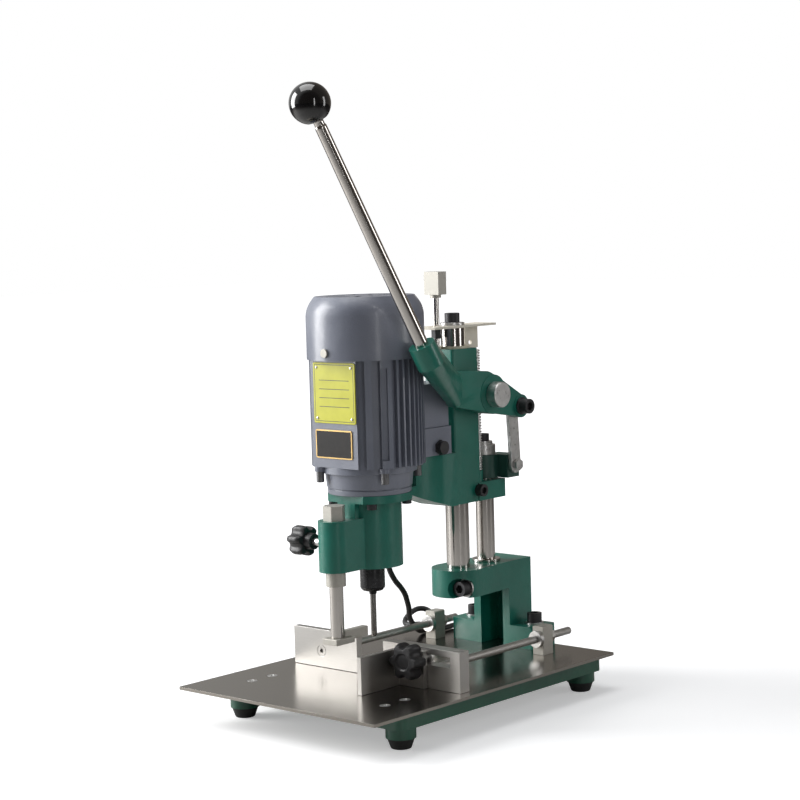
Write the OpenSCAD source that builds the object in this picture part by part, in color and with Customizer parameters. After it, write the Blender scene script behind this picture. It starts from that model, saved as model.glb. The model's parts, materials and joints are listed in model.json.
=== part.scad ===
// Bench drill for punching holes through stacks of paper: a table with sliding fences, two columns,
// and a head with its motor that a hand lever pulls down. Millimetres, +Z up, operator at -Y.
// The origin lies on the floor under the middle of the table.

/* [Table and base] */
// Width of the table plate
table_w = 270; // [256:1:300]
// Depth of the table plate
table_d = 380; // [380:1:420]
// Thickness of the table plate
table_t = 3; // [2:0.5:5]
// Corner radius of the table plate
table_r = 1.5; // [1:0.5:8]
// Width of the base casting
base_w = 248; // [244:1:254]
// Depth of the base casting
base_d = 325; // [315:1:330]
// Height of the base casting
base_h = 16; // [14:1:24]
// Outer wall of the base casting
base_wall = 8; // [6:0.5:12]
// Top wall of the base casting
base_top_t = 5; // [4:0.5:8]
// Corner radius of the base casting
base_r = 9; // [6:1:18]
// How far the base ends short of the bracket's rear face
base_short = 5; // [4:0.5:14]
// Height of the round bosses under the base
boss_h = 10.5; // [6:0.5:16]
// Diameter of the bosses under the base
boss_d = 30; // [28:1:32]
// Height of a rubber foot
foot_h = 10.5; // [8:0.5:16]
// Diameter of a rubber foot at its top
foot_top_d = 27.5; // [20:0.5:28]
// Diameter of a rubber foot on the floor
foot_low_d = 20; // [14:0.5:24]
// Head diameter of the countersunk table screws
table_screw_d = 11; // [9:0.5:12]
// Shank diameter of the countersunk table screws
table_screw_shank_d = 6; // [5:0.5:7]

/* [Column bracket] */
// Height of the bracket's top above the table
bracket_h = 94; // [88:1:110]
// Thickness of the bracket's forward arm
bracket_arm_t = 29.3; // [24:0.5:34]
// Width of the bracket's upright
bracket_w = 50; // [46:1:54]
// Depth of the bracket's upright
bracket_d = 39; // [36:0.5:39.5]
// Wall either side of the upright's channel
bracket_wall = 9.5; // [7:0.5:12]
// Radius of the round nose about the front column
bracket_nose_r = 29; // [26:0.5:32]
// Width over the two feet
bracket_foot_w = 117; // [112:1:122]
// Thickness of the feet
bracket_foot_t = 24; // [18:1:28]
// Gap from the rear column's axis to the upright's front
bracket_gap = 7.5; // [5:0.5:9]

/* [Columns] */
// Diameter of the front column
front_column_d = 25; // [24:0.5:26]
// Diameter of the rear column
rear_column_d = 20; // [18:0.5:22]
// Distance between the column axes
column_gap = 47; // [46:0.5:50]
// Distance from the spindle's axis back to the front column's
reach = 136.5; // [134:0.5:142]
// Height of the collar on the rear column
collar_h = 3; // [2:0.5:6]
// Diameter of that collar
collar_d = 31; // [26:0.5:32]

/* [Head] */
// Height of the motor flange's face above the table
flange_h = 192; // [188:1:200]
// Downward stroke of the head
stroke = 30; // [20:1:34]
// Thickness of the motor flange
flange_t = 7.9; // [6:0.5:12]
// Radius of the motor flange
flange_r = 43; // [42:0.5:46]
// Distance from the spindle's axis to the flange's flat front
flange_flat = 36; // [34:0.5:40]
// Length of the spindle housing under the flange
housing_h = 67.4; // [62:0.2:72]
// Radius of the spindle housing
housing_r = 32; // [30:0.5:32]
// Bore of the spindle housing
housing_bore_d = 30; // [29:0.5:40]
// Width of the sliding carriage
carriage_w = 40; // [38:1:42]
// Height of the sliding carriage above its lower block
carriage_h = 145; // [130:1:150]
// Height of the carriage's lower block
block_h = 19.5; // [17:0.5:24]
// How far the lower block's underside lies below the flange's face
block_drop = 27; // [24:0.5:30]
// Free height between the carriage and the top plate
headroom = 22; // [20:0.5:30]
// Wall of the guide bushes
bush_wall = 2; // [1.5:0.25:3]
// Length of a guide bush
bush_h = 18; // [12:1:19]
// Width of the head's arm at the carriage
arm_w = 44; // [42:1:48]
// Width of the head's arm at the motor flange
arm_front_w = 60; // [56:1:64]

/* [Motor] */
// Diameter over the motor frame's fins
motor_d = 116; // [112:1:118]
// Length of the motor frame
motor_h = 108; // [104:1:120]
// Depth of the cooling grooves
fin_depth = 6; // [4:0.5:6.5]
// Width of a cooling groove
fin_gap = 5.5; // [4:0.5:6]
// Distance from the shaft's axis to the flat name panel
panel_flat = 49; // [49:0.5:52]
// Bore of the motor frame
motor_bore_d = 84; // [80:1:86]
// Height of the lower bearing shield
shield_h = 28.8; // [26:0.5:34]
// Diameter of the lower shield's rim under the frame
shield_rim_d = 98; // [96:1:104]
// Diameter of the lower shield under its rim
shield_top_d = 92; // [90:0.5:95]
// Diameter of the lower shield on the flange
shield_low_d = 84; // [83:0.5:86]
// Diameter of the fan cover
cover_d = 120; // [119:0.5:122]
// Height of the fan cover's straight wall
cover_h = 44; // [38:1:50]
// Height of the fan cover's sloping shoulder
cover_cone_h = 19; // [16:1:24]
// Diameter of the fan cover's flat top
cover_top_d = 102; // [98:1:108]
// Sheet thickness of the fan cover
cover_t = 2; // [1:0.25:3]
// Shaft diameter in the bearings
shaft_d = 15; // [12:0.5:17]
// Outer diameter of a shaft bearing
bearing_d = 35; // [32:0.5:38]
// Length of a shaft bearing
bearing_h = 11; // [9:0.5:12]
// Circle radius of the tie bolts
tie_r = 52; // [51:0.25:52.5]
// Diameter of a tie bolt
tie_d = 4; // [3.5:0.25:4.5]

/* [Terminal box] */
// Width of the terminal box
box_w = 60; // [56:1:62]
// Distance from the shaft's axis to the box's rear
box_reach = 95; // [92:1:99]
// Height of the box's lower part
box_low_h = 29; // [24:0.5:32]
// Height of the box's cap
box_cap_h = 46; // [40:1:50]
// Wall of the box and of its cap
box_wall = 3; // [2:0.5:4]
// Height of the box's underside above the motor frame's lower edge
box_lift = 2; // [1:0.5:6]
// Outer diameter of a cable gland
gland_d = 16; // [14:0.5:18]
// Diameter of the mains cord
cord_d = 6; // [5:0.5:6.5]

/* [Spindle and drill] */
// Diameter of the drill chuck
chuck_d = 25.6; // [22:0.5:28]
// Length of the drill chuck
chuck_h = 26.7; // [24:0.1:30]
// Diameter of the drill's shank
drill_shank_d = 6; // [4:0.5:8]
// Free length of the drill's shank below the chuck
drill_shank_h = 5.3; // [3:0.5:8]
// Diameter of the drill
drill_d = 6; // [4:0.5:6.5]
// Length of the drill below its shank
drill_h = 42.4; // [38:0.2:44]

/* [Paper press] */
// Distance from the spindle's axis forward to the press rod's
press_gap = 54; // [52:0.5:58]
// Diameter of the press rod
press_rod_d = 14; // [12:0.5:14]
// Height of the press foot's underside above the table
press_clear = 44; // [38:0.5:46]
// Upward travel of the press rod in the head
press_travel = 22; // [16:1:26]
// Width of the press foot
press_foot_w = 20; // [18:1:24]
// Depth of the press foot
press_foot_d = 26.5; // [25:0.5:30]
// Height of the press foot
press_foot_h = 6; // [5:0.5:10]
// Width of the press foot's finger
press_finger_w = 8; // [6:0.5:10]
// Height of the press foot's finger
press_finger_h = 10; // [8:0.5:12]
// Radius of the lug that holds the press rod
lug_r = 16.5; // [16:0.5:18]
// Diameter over the lobes of the press lock knob
lock_knob_d = 33; // [28:1:36]

/* [Depth stop] */
// Diameter of the stop rod
stop_rod_d = 7; // [6:0.5:8]
// Width of the stop block
stop_block_w = 20; // [16:1:22]
// Depth of the stop block
stop_block_d = 13; // [12:0.5:14]
// Height of the stop block
stop_block_h = 24.3; // [20:0.5:28]
// Height of the stop nut
stop_nut_h = 10.2; // [8:0.5:12]

/* [Lever] */
// Height of the lever's pivot above the flange's face
pivot_h = 88.7; // [86:0.5:92]
// Distance from the front column's axis back to the lever's pivot
pivot_back = 11.9; // [11:0.5:14]
// Radius of the lever's boss at its pivot
pivot_boss_r = 21; // [18:0.5:22]
// Thickness of the lever casting
lever_t = 11.5; // [10:0.5:13]
// Diameter of the socket that holds the lever rod
socket_d = 27.5; // [24:0.5:28]
// Length of that socket
socket_h = 24; // [20:1:28]
// Distance from the socket's mouth to the ball's centre
rod_length = 263.3; // [220:1:290]
// Diameter of the lever rod in its socket
rod_low_d = 14.5; // [12:0.5:16]
// Diameter of the lever rod at the ball
rod_top_d = 11.5; // [9:0.5:13]
// Diameter of the ball knob
ball_d = 40; // [35:1:45]
// Width of the link bar
link_w = 16; // [14:0.5:18]
// Thickness of the link bar
link_t = 4; // [3:0.5:4.5]

/* [Fences] */
// Height of the left fence
left_fence_h = 40; // [30:1:44]
// Length of the left fence
left_fence_w = 91; // [80:1:96]
// Thickness of the left fence
left_fence_t = 8; // [6:0.5:10]
// Height of the right fence
right_fence_h = 41; // [34:1:44]
// Length of the right fence
right_fence_w = 101.5; // [96:0.5:106]
// Thickness of the right fence
right_fence_t = 14; // [10:0.5:16]
// Gap between the two fences
fence_gap = 46; // [40:1:50]
// Distance from the middle of the table to either guide rod
rod_x = 76; // [73:1:78]
// Diameter of a guide rod
guide_rod_d = 8; // [6:0.5:10]
// Height of a guide rod's axis above the table
rod_h = 17.5; // [14:0.5:19]
// Length of the slot in the right fence
slot_l = 60; // [54:1:64]
// Height of that slot
slot_h = 11; // [9:0.5:14]
// Depth of the side stop's plate
stop_plate_d = 61.7; // [50:0.5:66]
// Height of the side stop
stop_plate_h = 37.7; // [34:0.5:39]
// Diameter over the lobes of the side stop's knob
stop_knob_d = 39; // [34:1:42]

/* [Return spring] */
// Outer diameter of the return spring
spring_d = 14.4; // [12:0.2:14.6]
// Wire of the return spring
spring_wire = 1.8; // [1.2:0.1:2]
// Pitch of the return spring's curls
spring_pitch = 4; // [3.5:0.1:5]

/* [Hidden] */

$fn = 72;
hull_fn = 32;
cut = 1;
gap = 0.3;
fit = 0.05;
screw_gap = 0.2;
socket_depth_share = 0.5;
socket_width_share = 0.6;
flat_socket_share = 0.4;
star_core_share = 0.72;
star_lobe_share = 0.32;

// Heights above the floor
base_z = foot_h + boss_h;
plate_z = base_z + base_h;
table_z = plate_z + table_t;
bracket_top = table_z + bracket_h;
flange_z = table_z + flange_h;
block_z = flange_z - block_drop;
block_top = block_z + block_h;
carriage_top = block_top + carriage_h;
top_z = carriage_top + headroom;
housing_z = flange_z - flange_t - housing_h;

// Places from front to back
spindle_y = -41;
front_y = spindle_y + reach;
rear_y = front_y + column_gap;
press_y = spindle_y - press_gap;
bracket_y = rear_y + bracket_gap;
base_rear = bracket_y + bracket_d - base_short;
base_front = base_rear - base_d;
base_y = base_rear - base_d / 2;

// Screws: shank diameter, head diameter, head height
m10 = [10, 16, 10];
m8 = [8, 13, 8];
m6 = [6, 10, 6];
m5 = [5, 8.5, 5];
chamfer = 1;
fillet = 5;

// Base
foot_side_in = 16;
foot_front_in = 17;
foot_rear_in = 19;
table_screw_side_in = 32;
table_screw_rows_in = [13, 42];
table_screw_l = 7;
base_rib_t = 6;
bracket_bolt_x = 42;
bracket_bolt_back = 22;
bracket_bolt_l = 36;
pinch_x = 19;
pinch_front = 10;
pinch_drop = 19.4;
pinch_l = 25;
washer_d = 20;
washer_t = 2;

// Top of the columns and the lever's link
column_seat = 29;
top_plate_w = 30;
top_plate_t = 2.5;
top_plate_front = 45.5;
top_plate_rear = 55.5;
tab_t = 2.5;
tab_h = 23.5;
tab_front = 19;
tab_rear = 40.5;
tab_hole_d = 5;
tab_hole_in = 8.5;
tab_hole_up = 6;
stop_rod_gap = 0.8;
cap_washer_d = 26;
cap_washer_t = 3;
cap_screw_l = 20;
link_clear = 1.5;
link_bracket_h = 25;
link_bracket_r = 16;
link_spacer_d = 26;
link_spacer_h = 7.3;
rear_washer_step = 3.6;
link_flat = 14.2;
link_arm_x = 28.5;
link_arm_d = 20;
link_pin_d = 8;
link_pin_x = 8;
link_pin_back = 15.5;
link_pin_h = 14;
link_nut_d = 13;
link_nut_h = 4.5;
link_z = block_top + link_clear;
rear_column_top = link_z + link_bracket_h + link_spacer_h;
link_y = rear_y + link_pin_back;
link_pin_z = link_z + link_pin_h;

// Guide rods and fences
rod_block_w = 14;
rod_block_d = 17;
rod_block_h = 31;
rod_block_lead = 16;
lock_ring_d = 18;
lock_ring_t = 5;
lock_nut_d = 14;
lock_nut_t = 6;
left_fence_y = -41;
right_fence_y = -51;
fence_x = 21;
left_rod_l = 211;
right_rod_l = 225;
slot_x = 29;
slot_lift = 24;
fence_screw_d = 12;
right_screw_head_d = 9;
rod_screw_d = 4;
rod_screw_l = 12;
stop_plate_x = 21.5;
stop_plate_t = 5;
stop_flange_w = 37.5;
stop_knob_x = 26.5;
knob_stud_d = 8;
knob_hub_t = 3;
knob_t = 17;
t_head_d = 16;
t_head_t = 4;
rod_block_y = bracket_y - rod_block_lead;
rod_z = table_z + rod_h;
stop_plate_left = fence_x + stop_plate_x;
knob_x = stop_plate_left + stop_knob_x;
knob_z = table_z + slot_lift + slot_h / 2;

// Head details
block_front = 33.5;
carriage_front = 24.5;
carriage_rear = 17.5;
block_rear = 60.5;
carriage_corner_r = 3;
arm_waist_y = 22;
arm_waist_w = 30;
arm_top_h = 28.8;
arm_relief_r = 53.5;
arm_concave_r = 60;
lug_h = 51.5;
lug_top_drop = 23;
neck_w = 24;
neck_rear = 19;
guide_d = 18;
guide_collar_d = 20;
guide_collar_h = 15;
guide_hex_d = 23;
guide_hex_h = 15;
clamp_slit = 1.5;
clamp_slit_depth = 5;
clamp_screw_back = 13.2;
clamp_screw_h = 12;
stop_boss_d = 14;
stop_boss_h = 25;
stop_x = -4;
stop_front = 21.5;
stop_seat_d = 12;
stop_seat_h = 3.3;
seal_d = 34;
seal_t = 2.5;
pivot_land_d = 30;
pivot_land_t = 3.7;
pivot_bolt_d = 9;
pivot_cap_d = 27;
pivot_cap_t = 12;
pivot_bolt_seat = 8;
guide_cap_t = 3;
lock_knob_up = 1.75;
stop_nut_d = 11.5;
lug_z = flange_z - lug_top_drop - lug_h;
lug_top = lug_z + lug_h;
pivot_y = front_y + pivot_back;
pivot_z = flange_z + pivot_h;
stop_y = front_y - stop_front;

// Motor details
mount_bolt_x = 26.4;
mount_bolt_l = 14;
shield_wall = 5;
shield_floor = 12;
tie_top_h = 8;
cover_screw_l = 8;
lug_bolt_angles = [-30, 60, 150, 240];
tie_lug_r = 5.5;
tie_lug_h = 5;
tie_head_d = 8;
tie_head_h = 11;
upper_shield_h = 12;
stator_h = 80;
stator_bore_d = 54;
rotor_core_d = 53;
rotor_core_h = 76;
winding_h = 10;
winding_d = 76;
spindle_d = 12;
fan_h = 16;
fan_d = 100;
fan_hub_d = 30;
fan_blade_t = 3;
fan_rise = 6;
drill_seat = 10;
chuck_taper = 3;
chuck_nose_d = 8.5;
chuck_nose_h = 4.5;
blades = 8;
slot_ring_r = 30;
slot_vent_w = 5;
slot_vent_l = 20;
vents = 12;
cover_screw_angles = [-90, 10, 170];
cover_screw_d = 9;
cover_screw_t = 2;
cover_screw_lift = 8;
label_t = 1;
label_w = 57;
label_h = 61;
label_lift = 45;
label_x = 1.5;
badge_w = 50;
badge_h = 29;
badge_lift = 9.5;
badge_x = -1;
groove_first = -19;
groove_step = 7.56;
grooves = 10;
wide_groove_w = 8.6;
wide_groove_angles = [-53.6, -38.2];
pocket_w = 7;
pocket_depth = 3;
pocket_in = 8;
pocket_angles = [-30, 150];
shield_rim_h = 7;
shield_bead_z = 5;
shield_groove_t = 1.5;
shoulder_bulge = 2;
shoulder_steps = 8;
frame_z = flange_z + shield_h;
frame_top = frame_z + motor_h;
cover_top = frame_top + cover_h + cover_cone_h;
label_y = spindle_y - panel_flat - label_t;

// Terminal box details
box_z = frame_z + box_lift;
box_y = spindle_y + box_reach;
box_front = 47;
lid_inset = 1.5;
gland_hex_t = 3;
gland_nut_d = 14;
gland_nut_t = 4;
gland_lift = 8;
gland_y = 35;

// Lever details
bend = [39.25, -62.5, 15.5];
socket_mouth = [84, -158.4, 63.3];
rod_way_share = [-0.1025, -0.45, 0.8868];
rod_seat = 18;
ball_flat = 3;
bend_r = 13;
web_inset = 0.5;
arm_root_d = 26;
hub = [-12, 6];
hub_r = 19.5;
heel = [-58, -1];
heel_r = 8;
rear_pin_back = 46.6;
rear_pin_drop = 16.3;
rear_boss_r = 12.5;
lever_x = 33.5;
pivot_boss_x = 24;
pin_slot_travel = 3.6;
rear_washer_d = 19;
rear_washer_t = 2;
rear_pin_d = 8;
link_x = 29;
rear_pin_y = pivot_y + rear_pin_back;
rear_pin_z = pivot_z - rear_pin_drop;
rod_foot = [socket_mouth[0], pivot_y + socket_mouth[1], pivot_z + socket_mouth[2]];

// Press details
press_foot_front = 12;
press_finger_d = 34;
press_finger_drop = 4.3;
press_z = table_z + press_clear;
press_spring_low_h = 13.6;
press_rod_h = lug_top + guide_hex_h - guide_cap_t - press_spring_low_h - press_travel
    - press_z - press_foot_h;
lock_knob_x = 36;
lock_knob_t = 18;
lock_stud_d = 8;
lock_hub_d = 16;
lock_hub_t = 8;
press_spring_d = 12;
knob_lobes = 6;

// Return spring
spring_x = 7;
spring_gap = 25.2;
spring_post_h = 11.5;
spring_y = front_y + spring_gap;
spring_low = block_top + spring_post_h;
spring_top = top_z - tab_h;

// Route of the mains cord, from its gland down to the table and the floor
cord_gland = [-37, 35, 270.8];
drop_points = [
    cord_gland, [-42, 35, 270.8], [-49, 35, 270.4], [-57, 36, 268], [-64, 37, 262], [-69, 38, 252],
    [-71, 39, 240],
    [-72, 41, 224], [-71, 43, 207], [-69, 46, 188], [-67, 48, 168], [-64, 50, 148], [-62, 54, 130],
    [-61, 61, 118], [-61, 69, 110], [-62, 77, 101], [-65, 84, 91], [-70, 92, 81], [-77, 100, 71]
];
run_points = [
    [-77, 100, 71], [-82, 109, 63], [-87, 119, 56], [-93, 130, 50], [-99, 142, 45], [-103, 154, 43.4],
    [-105, 166, 46], [-109, 176, 52], [-117, 181, 58], [-124, 178, 61.5], [-128.5, 170, 61.5],
    [-129.5, 160, 58], [-127, 150, 54], [-121, 142, 51.5], [-113, 138, 51], [-105, 139, 52],
    [-98, 144, 52], [-94, 152, 50], [-92, 161, 46.5], [-91, 170, 43.8], [-91, 180, 43.4],
    [-92, 190, 43.4], [-93, 199, 42], [-94, 207, 37], [-95, 213, 29], [-96, 216, 20], [-97, 219, 12],
    [-98, 225, 6], [-98.5, 235, 3.2]
];
cord_sides = 8;
coil_x = -56;
coil_y = 235;
coil_in_r = 24;
coil_step = 7.4;
coil_turns = 5.5;
coil_climb = 0.5;
coil_rings = 24;
coil_sides = 6;
coil_low_z = 3.2;
coil_rise = 6.8;
tail_points = [[-12.4, 225, 10.8], [-7, 215.5, 11.8], [3, 209, 12.2], [14, 209, 12.2]];
plug_x = 14;
plug_y = 209;
plug_h = 24;
plug_w = 36;
plug_l = 34;
plug_relief_d = 9;
plug_relief_l = 14;
plug_pin_gap = 19;
plug_pin_d = 4.8;
plug_pin_l = 19;

module at_x(x, y, z) translate([x, y, z]) rotate([0, 90, 0]) children();
module at_y(x, y, z) translate([x, y, z]) rotate([-90, 0, 0]) children();

module rounded_rect(w, d, r) {
    square([w - 2 * r, d], center = true);
    square([w, d - 2 * r], center = true);
    for (x = [-1, 1], y = [-1, 1]) translate([x * (w / 2 - r), y * (d / 2 - r)]) circle(r = r);
}

module ring(outer_d, inner_d, h) difference() {
    cylinder(d = outer_d, h = h);
    translate([0, 0, -cut]) cylinder(d = inner_d, h = h + 2 * cut);
}

// A screw whose head stands on z = 0, with its shank below
module cap_screw(size, l) {
    difference() {
        cylinder(d = size[1], h = size[2]);
        translate([0, 0, size[2] * (1 - socket_depth_share)])
            cylinder(d = size[1] * socket_width_share, h = size[2], $fn = 6);
    }
    translate([0, 0, -l]) cylinder(d = size[0], h = l);
}

// A countersunk screw with its top face on z = 0
module flat_screw(head_d, shank_d, l) difference() {
    union() {
        translate([0, 0, -sink(head_d, shank_d)])
            cylinder(d1 = shank_d, d2 = head_d, h = sink(head_d, shank_d));
        translate([0, 0, -l]) cylinder(d = shank_d, h = l);
    }
    translate([0, 0, -sink(head_d, shank_d) / 2])
        cylinder(d = head_d * flat_socket_share, h = head_d, $fn = 6);
}

module flat_screw_hole(head_d, shank_d, l) {
    translate([0, 0, -sink(head_d, shank_d) - screw_gap])
        cylinder(d1 = shank_d, d2 = head_d + 2 * screw_gap, h = sink(head_d, shank_d) + screw_gap);
    translate([0, 0, -l - screw_gap]) cylinder(d = shank_d + 2 * screw_gap, h = l + cut);
}

function sink(head_d, shank_d) = (head_d - shank_d) / 2;

module star(d, t) linear_extrude(t) {
    circle(d = d * star_core_share);
    for (i = [1 : knob_lobes]) rotate(i * 360 / knob_lobes)
        translate([d * (1 - star_lobe_share) / 2, 0]) circle(d = d * star_lobe_share);
}

// Tubes swept along a route
function unit(v) = v / norm(v);
function heading(p, i) = unit(p[min(i + 1, len(p) - 1)] - p[max(i - 1, 0)]);
function square_to(u, t) = unit(u - (u * t) * t);
function sideways(p, start) = [
    for (i = 0, u = square_to(start, heading(p, 0)); i < len(p);
        i = i + 1, u = square_to(u, heading(p, min(i, len(p) - 1)))) u
];
function ring_points(p, r, n, start, first, last) =
    let (s = sideways(p, start))
    [
        for (i = [first : last]) let (t = heading(p, i), a = s[i], b = cross(t, a))
            for (k = [0 : n - 1]) p[i] + r * (cos(k * 360 / n) * a + sin(k * 360 / n) * b)
    ];
function ring_faces(n, rings) = concat(
    [for (k = [1 : n - 2]) [0, k, k + 1]],
    [
        for (i = [0 : rings - 2], k = [0 : n - 1])
            let (a = i * n + k, b = i * n + (k + 1) % n) each [[a, a + n, b], [b, a + n, b + n]]
    ],
    [for (k = [1 : n - 2]) let (e = (rings - 1) * n) [e, e + k + 1, e + k]]
);
module tube(p, r, n, start, first, last)
    polyhedron(ring_points(p, r, n, start, first, last), ring_faces(n, last - first + 1));

// Least gap between stretches of a tube that lie more than some rings apart
function least_gap(p, r, apart) = min([
    for (i = [0 : len(p) - 1 - apart], j = [i + apart : len(p) - 1]) norm(p[i] - p[j])
]) - 2 * r;

module base_pocket(y) translate([0, y, base_z - cut]) linear_extrude(base_h - base_top_t + cut)
    square([base_w - 2 * base_wall, (base_d - 2 * base_wall - base_rib_t) / 2], center = true);

module at_feet(z) for (side = [-1, 1], y = [base_front + foot_front_in, base_rear - foot_rear_in])
    translate([side * (base_w / 2 - foot_side_in), y, z]) children();

module at_table_screws() for (side = [-1, 1], row = table_screw_rows_in)
    translate([side * (base_w / 2 - table_screw_side_in), base_front + row, table_z]) children();

module at_bracket_bolts(z) for (x = [-bracket_bolt_x, bracket_bolt_x])
    translate([x, bracket_y + bracket_bolt_back, z]) children();

module base_casting() color("teal") difference() {
    union() {
        difference() {
            translate([0, base_y, base_z]) linear_extrude(base_h) rounded_rect(base_w, base_d, base_r);
            for (side = [-1, 1])
                base_pocket(base_y + side * ((base_d - 2 * base_wall - base_rib_t) / 4 + base_rib_t / 2));
        }
        at_feet(foot_h) cylinder(d = boss_d, h = boss_h + base_h - base_top_t / 2);
    }
    at_table_screws() flat_screw_hole(table_screw_d, table_screw_shank_d, table_t + base_top_t + cut);
    at_bracket_bolts(base_z) cylinder(d = m10[0] + 2 * screw_gap, h = base_h + cut);
}

module table_plate() color("gainsboro") difference() {
    translate([0, 0, plate_z]) linear_extrude(table_t) rounded_rect(table_w, table_d, table_r);
    at_table_screws() flat_screw_hole(table_screw_d, table_screw_shank_d, table_t + cut);
    at_bracket_bolts(plate_z - cut) cylinder(d = m10[0] + 2 * screw_gap, h = table_t + 2 * cut);
}

module table_screws() color("silver")
    at_table_screws() flat_screw(table_screw_d, table_screw_shank_d, table_screw_l);

module rubber_feet() color("dimgray") at_feet(0) cylinder(d1 = foot_low_d, d2 = foot_top_d, h = foot_h);

module bracket_plan() {
    polygon([
        [-bracket_nose_r, front_y], [bracket_nose_r, front_y], [bracket_w / 2, bracket_y],
        [bracket_w / 2, bracket_y + bracket_d], [-bracket_w / 2, bracket_y + bracket_d],
        [-bracket_w / 2, bracket_y]
    ]);
    translate([0, front_y]) circle(r = bracket_nose_r);
}

// The screw that clamps the front column points at the operator
module at_pinch_screw()
    translate([pinch_x, front_y - pinch_front, bracket_top - pinch_drop]) rotate([90, 0, 0]) children();

module column_bracket() color("teal") difference() {
    union() {
        translate([0, 0, bracket_top - bracket_arm_t]) linear_extrude(bracket_arm_t) bracket_plan();
        translate([-bracket_w / 2, bracket_y, table_z]) cube([bracket_w, bracket_d, bracket_h]);
        translate([0, bracket_y + bracket_d / 2, table_z]) linear_extrude(bracket_foot_t)
            rounded_rect(bracket_foot_w, bracket_d, fillet);
    }
    translate([-bracket_w / 2 + bracket_wall, bracket_y - cut, table_z - cut])
        cube([bracket_w - 2 * bracket_wall, bracket_d - bracket_wall + cut,
              bracket_h - bracket_arm_t + cut]);
    translate([0, front_y, bracket_top - bracket_arm_t - cut])
        cylinder(d = front_column_d + 2 * fit, h = bracket_arm_t + 2 * cut);
    translate([0, rear_y, bracket_top - bracket_arm_t - cut])
        cylinder(d = rear_column_d + 2 * fit, h = bracket_arm_t + 2 * cut);
    at_pinch_screw() {
        cylinder(d = washer_d + 2 * cut, h = bracket_nose_r);
        translate([0, 0, -pinch_l]) cylinder(d = m10[0] + 2 * screw_gap, h = pinch_l + cut);
    }
    at_bracket_bolts(table_z - cut) cylinder(d = m10[0] + 2 * screw_gap, h = bracket_foot_t + 2 * cut);
}

module base_cap_screws() color("dimgray") {
    at_bracket_bolts(table_z + bracket_foot_t + washer_t) cap_screw(m10, bracket_bolt_l);
    at_pinch_screw() translate([0, 0, washer_t]) cap_screw(m10, pinch_l);
}

module base_washers() color("silver") {
    at_bracket_bolts(table_z + bracket_foot_t) ring(washer_d, m10[0] + 2 * screw_gap, washer_t);
    at_pinch_screw() ring(washer_d, m10[0] + 2 * screw_gap, washer_t);
}

// A round column with a tapped hole in its top
module column(d, low_z, high_z, size) difference() {
    translate([0, 0, low_z]) cylinder(d = d, h = high_z - low_z);
    translate([0, 0, high_z - cap_screw_l - cut])
        cylinder(d = size[0] + 2 * screw_gap, h = cap_screw_l + 2 * cut);
}

module front_column() color("lightgray")
    translate([0, front_y]) column(front_column_d, bracket_top - column_seat, top_z, m10);

module rear_column() color("lightgray") translate([0, rear_y]) {
    column(rear_column_d, bracket_top - column_seat, rear_column_top, m8);
    translate([0, 0, bracket_top]) ring(collar_d, rear_column_d, collar_h);
}

module top_plate() color("beige") difference() {
    union() {
        translate([-top_plate_w / 2, front_y - top_plate_front, top_z])
            cube([top_plate_w, top_plate_front + top_plate_rear, top_plate_t]);
        translate([-tab_t / 2, front_y + tab_front, top_z - tab_h])
            cube([tab_t, tab_rear - tab_front, tab_h + top_plate_t / 2]);
    }
    translate([stop_x, stop_y, top_z - cut])
        cylinder(d = stop_rod_d + 2 * stop_rod_gap, h = top_plate_t + 2 * cut);
    translate([0, front_y, top_z - cut])
        cylinder(d = m10[0] + 2 * screw_gap, h = top_plate_t + 2 * cut);
    at_x(-tab_t, front_y + tab_front + tab_hole_in, top_z - tab_h + tab_hole_up)
        cylinder(d = tab_hole_d, h = 2 * tab_t);
}

module column_cap_screws() color("dimgray") {
    translate([0, front_y, top_z + top_plate_t + cap_washer_t]) cap_screw(m10, cap_screw_l);
    translate([0, rear_y, rear_column_top + 2 * rear_washer_step]) cap_screw(m8, cap_screw_l);
}

module column_cap_washers() color("silver") {
    translate([0, front_y, top_z + top_plate_t]) ring(cap_washer_d, m10[0] + 2 * screw_gap, cap_washer_t);
    translate([0, rear_y, link_z + link_bracket_h])
        ring(link_spacer_d, rear_column_d + 2 * fit, link_spacer_h);
    translate([0, rear_y, rear_column_top]) {
        ring(link_spacer_d, m8[0] + 2 * screw_gap, rear_washer_step);
        translate([0, 0, rear_washer_step]) ring(washer_d, m8[0] + 2 * screw_gap, rear_washer_step);
    }
}

module link_bracket() color("darkgreen") difference() {
    union() {
        difference() {
            translate([0, rear_y, link_z]) cylinder(r = link_bracket_r, h = link_bracket_h);
            translate([-link_bracket_r, rear_y - link_flat - link_bracket_r, link_z - cut])
                cube([2 * link_bracket_r, link_bracket_r, link_bracket_h + 2 * cut]);
        }
        translate([0, link_y - link_arm_d / 2, link_z]) cube([link_arm_x, link_arm_d, link_bracket_h]);
    }
    translate([0, rear_y, link_z - cut])
        cylinder(d = rear_column_d + 2 * fit, h = link_bracket_h + 2 * cut);
    at_x(link_pin_x, link_y, link_pin_z) cylinder(d = link_pin_d + 2 * fit, h = link_arm_x);
}

module link_pin() color("silver") {
    at_x(link_pin_x + fit, link_y, link_pin_z)
        cylinder(d = link_pin_d, h = link_x + link_t + gap - link_pin_x - fit);
    at_x(link_x + link_t + gap, link_y, link_pin_z) cylinder(d = link_nut_d, h = link_nut_h, $fn = 6);
}

module at_rods(y) for (side = [-1, 1]) at_y(side * rod_x, y, rod_z) children();

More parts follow.
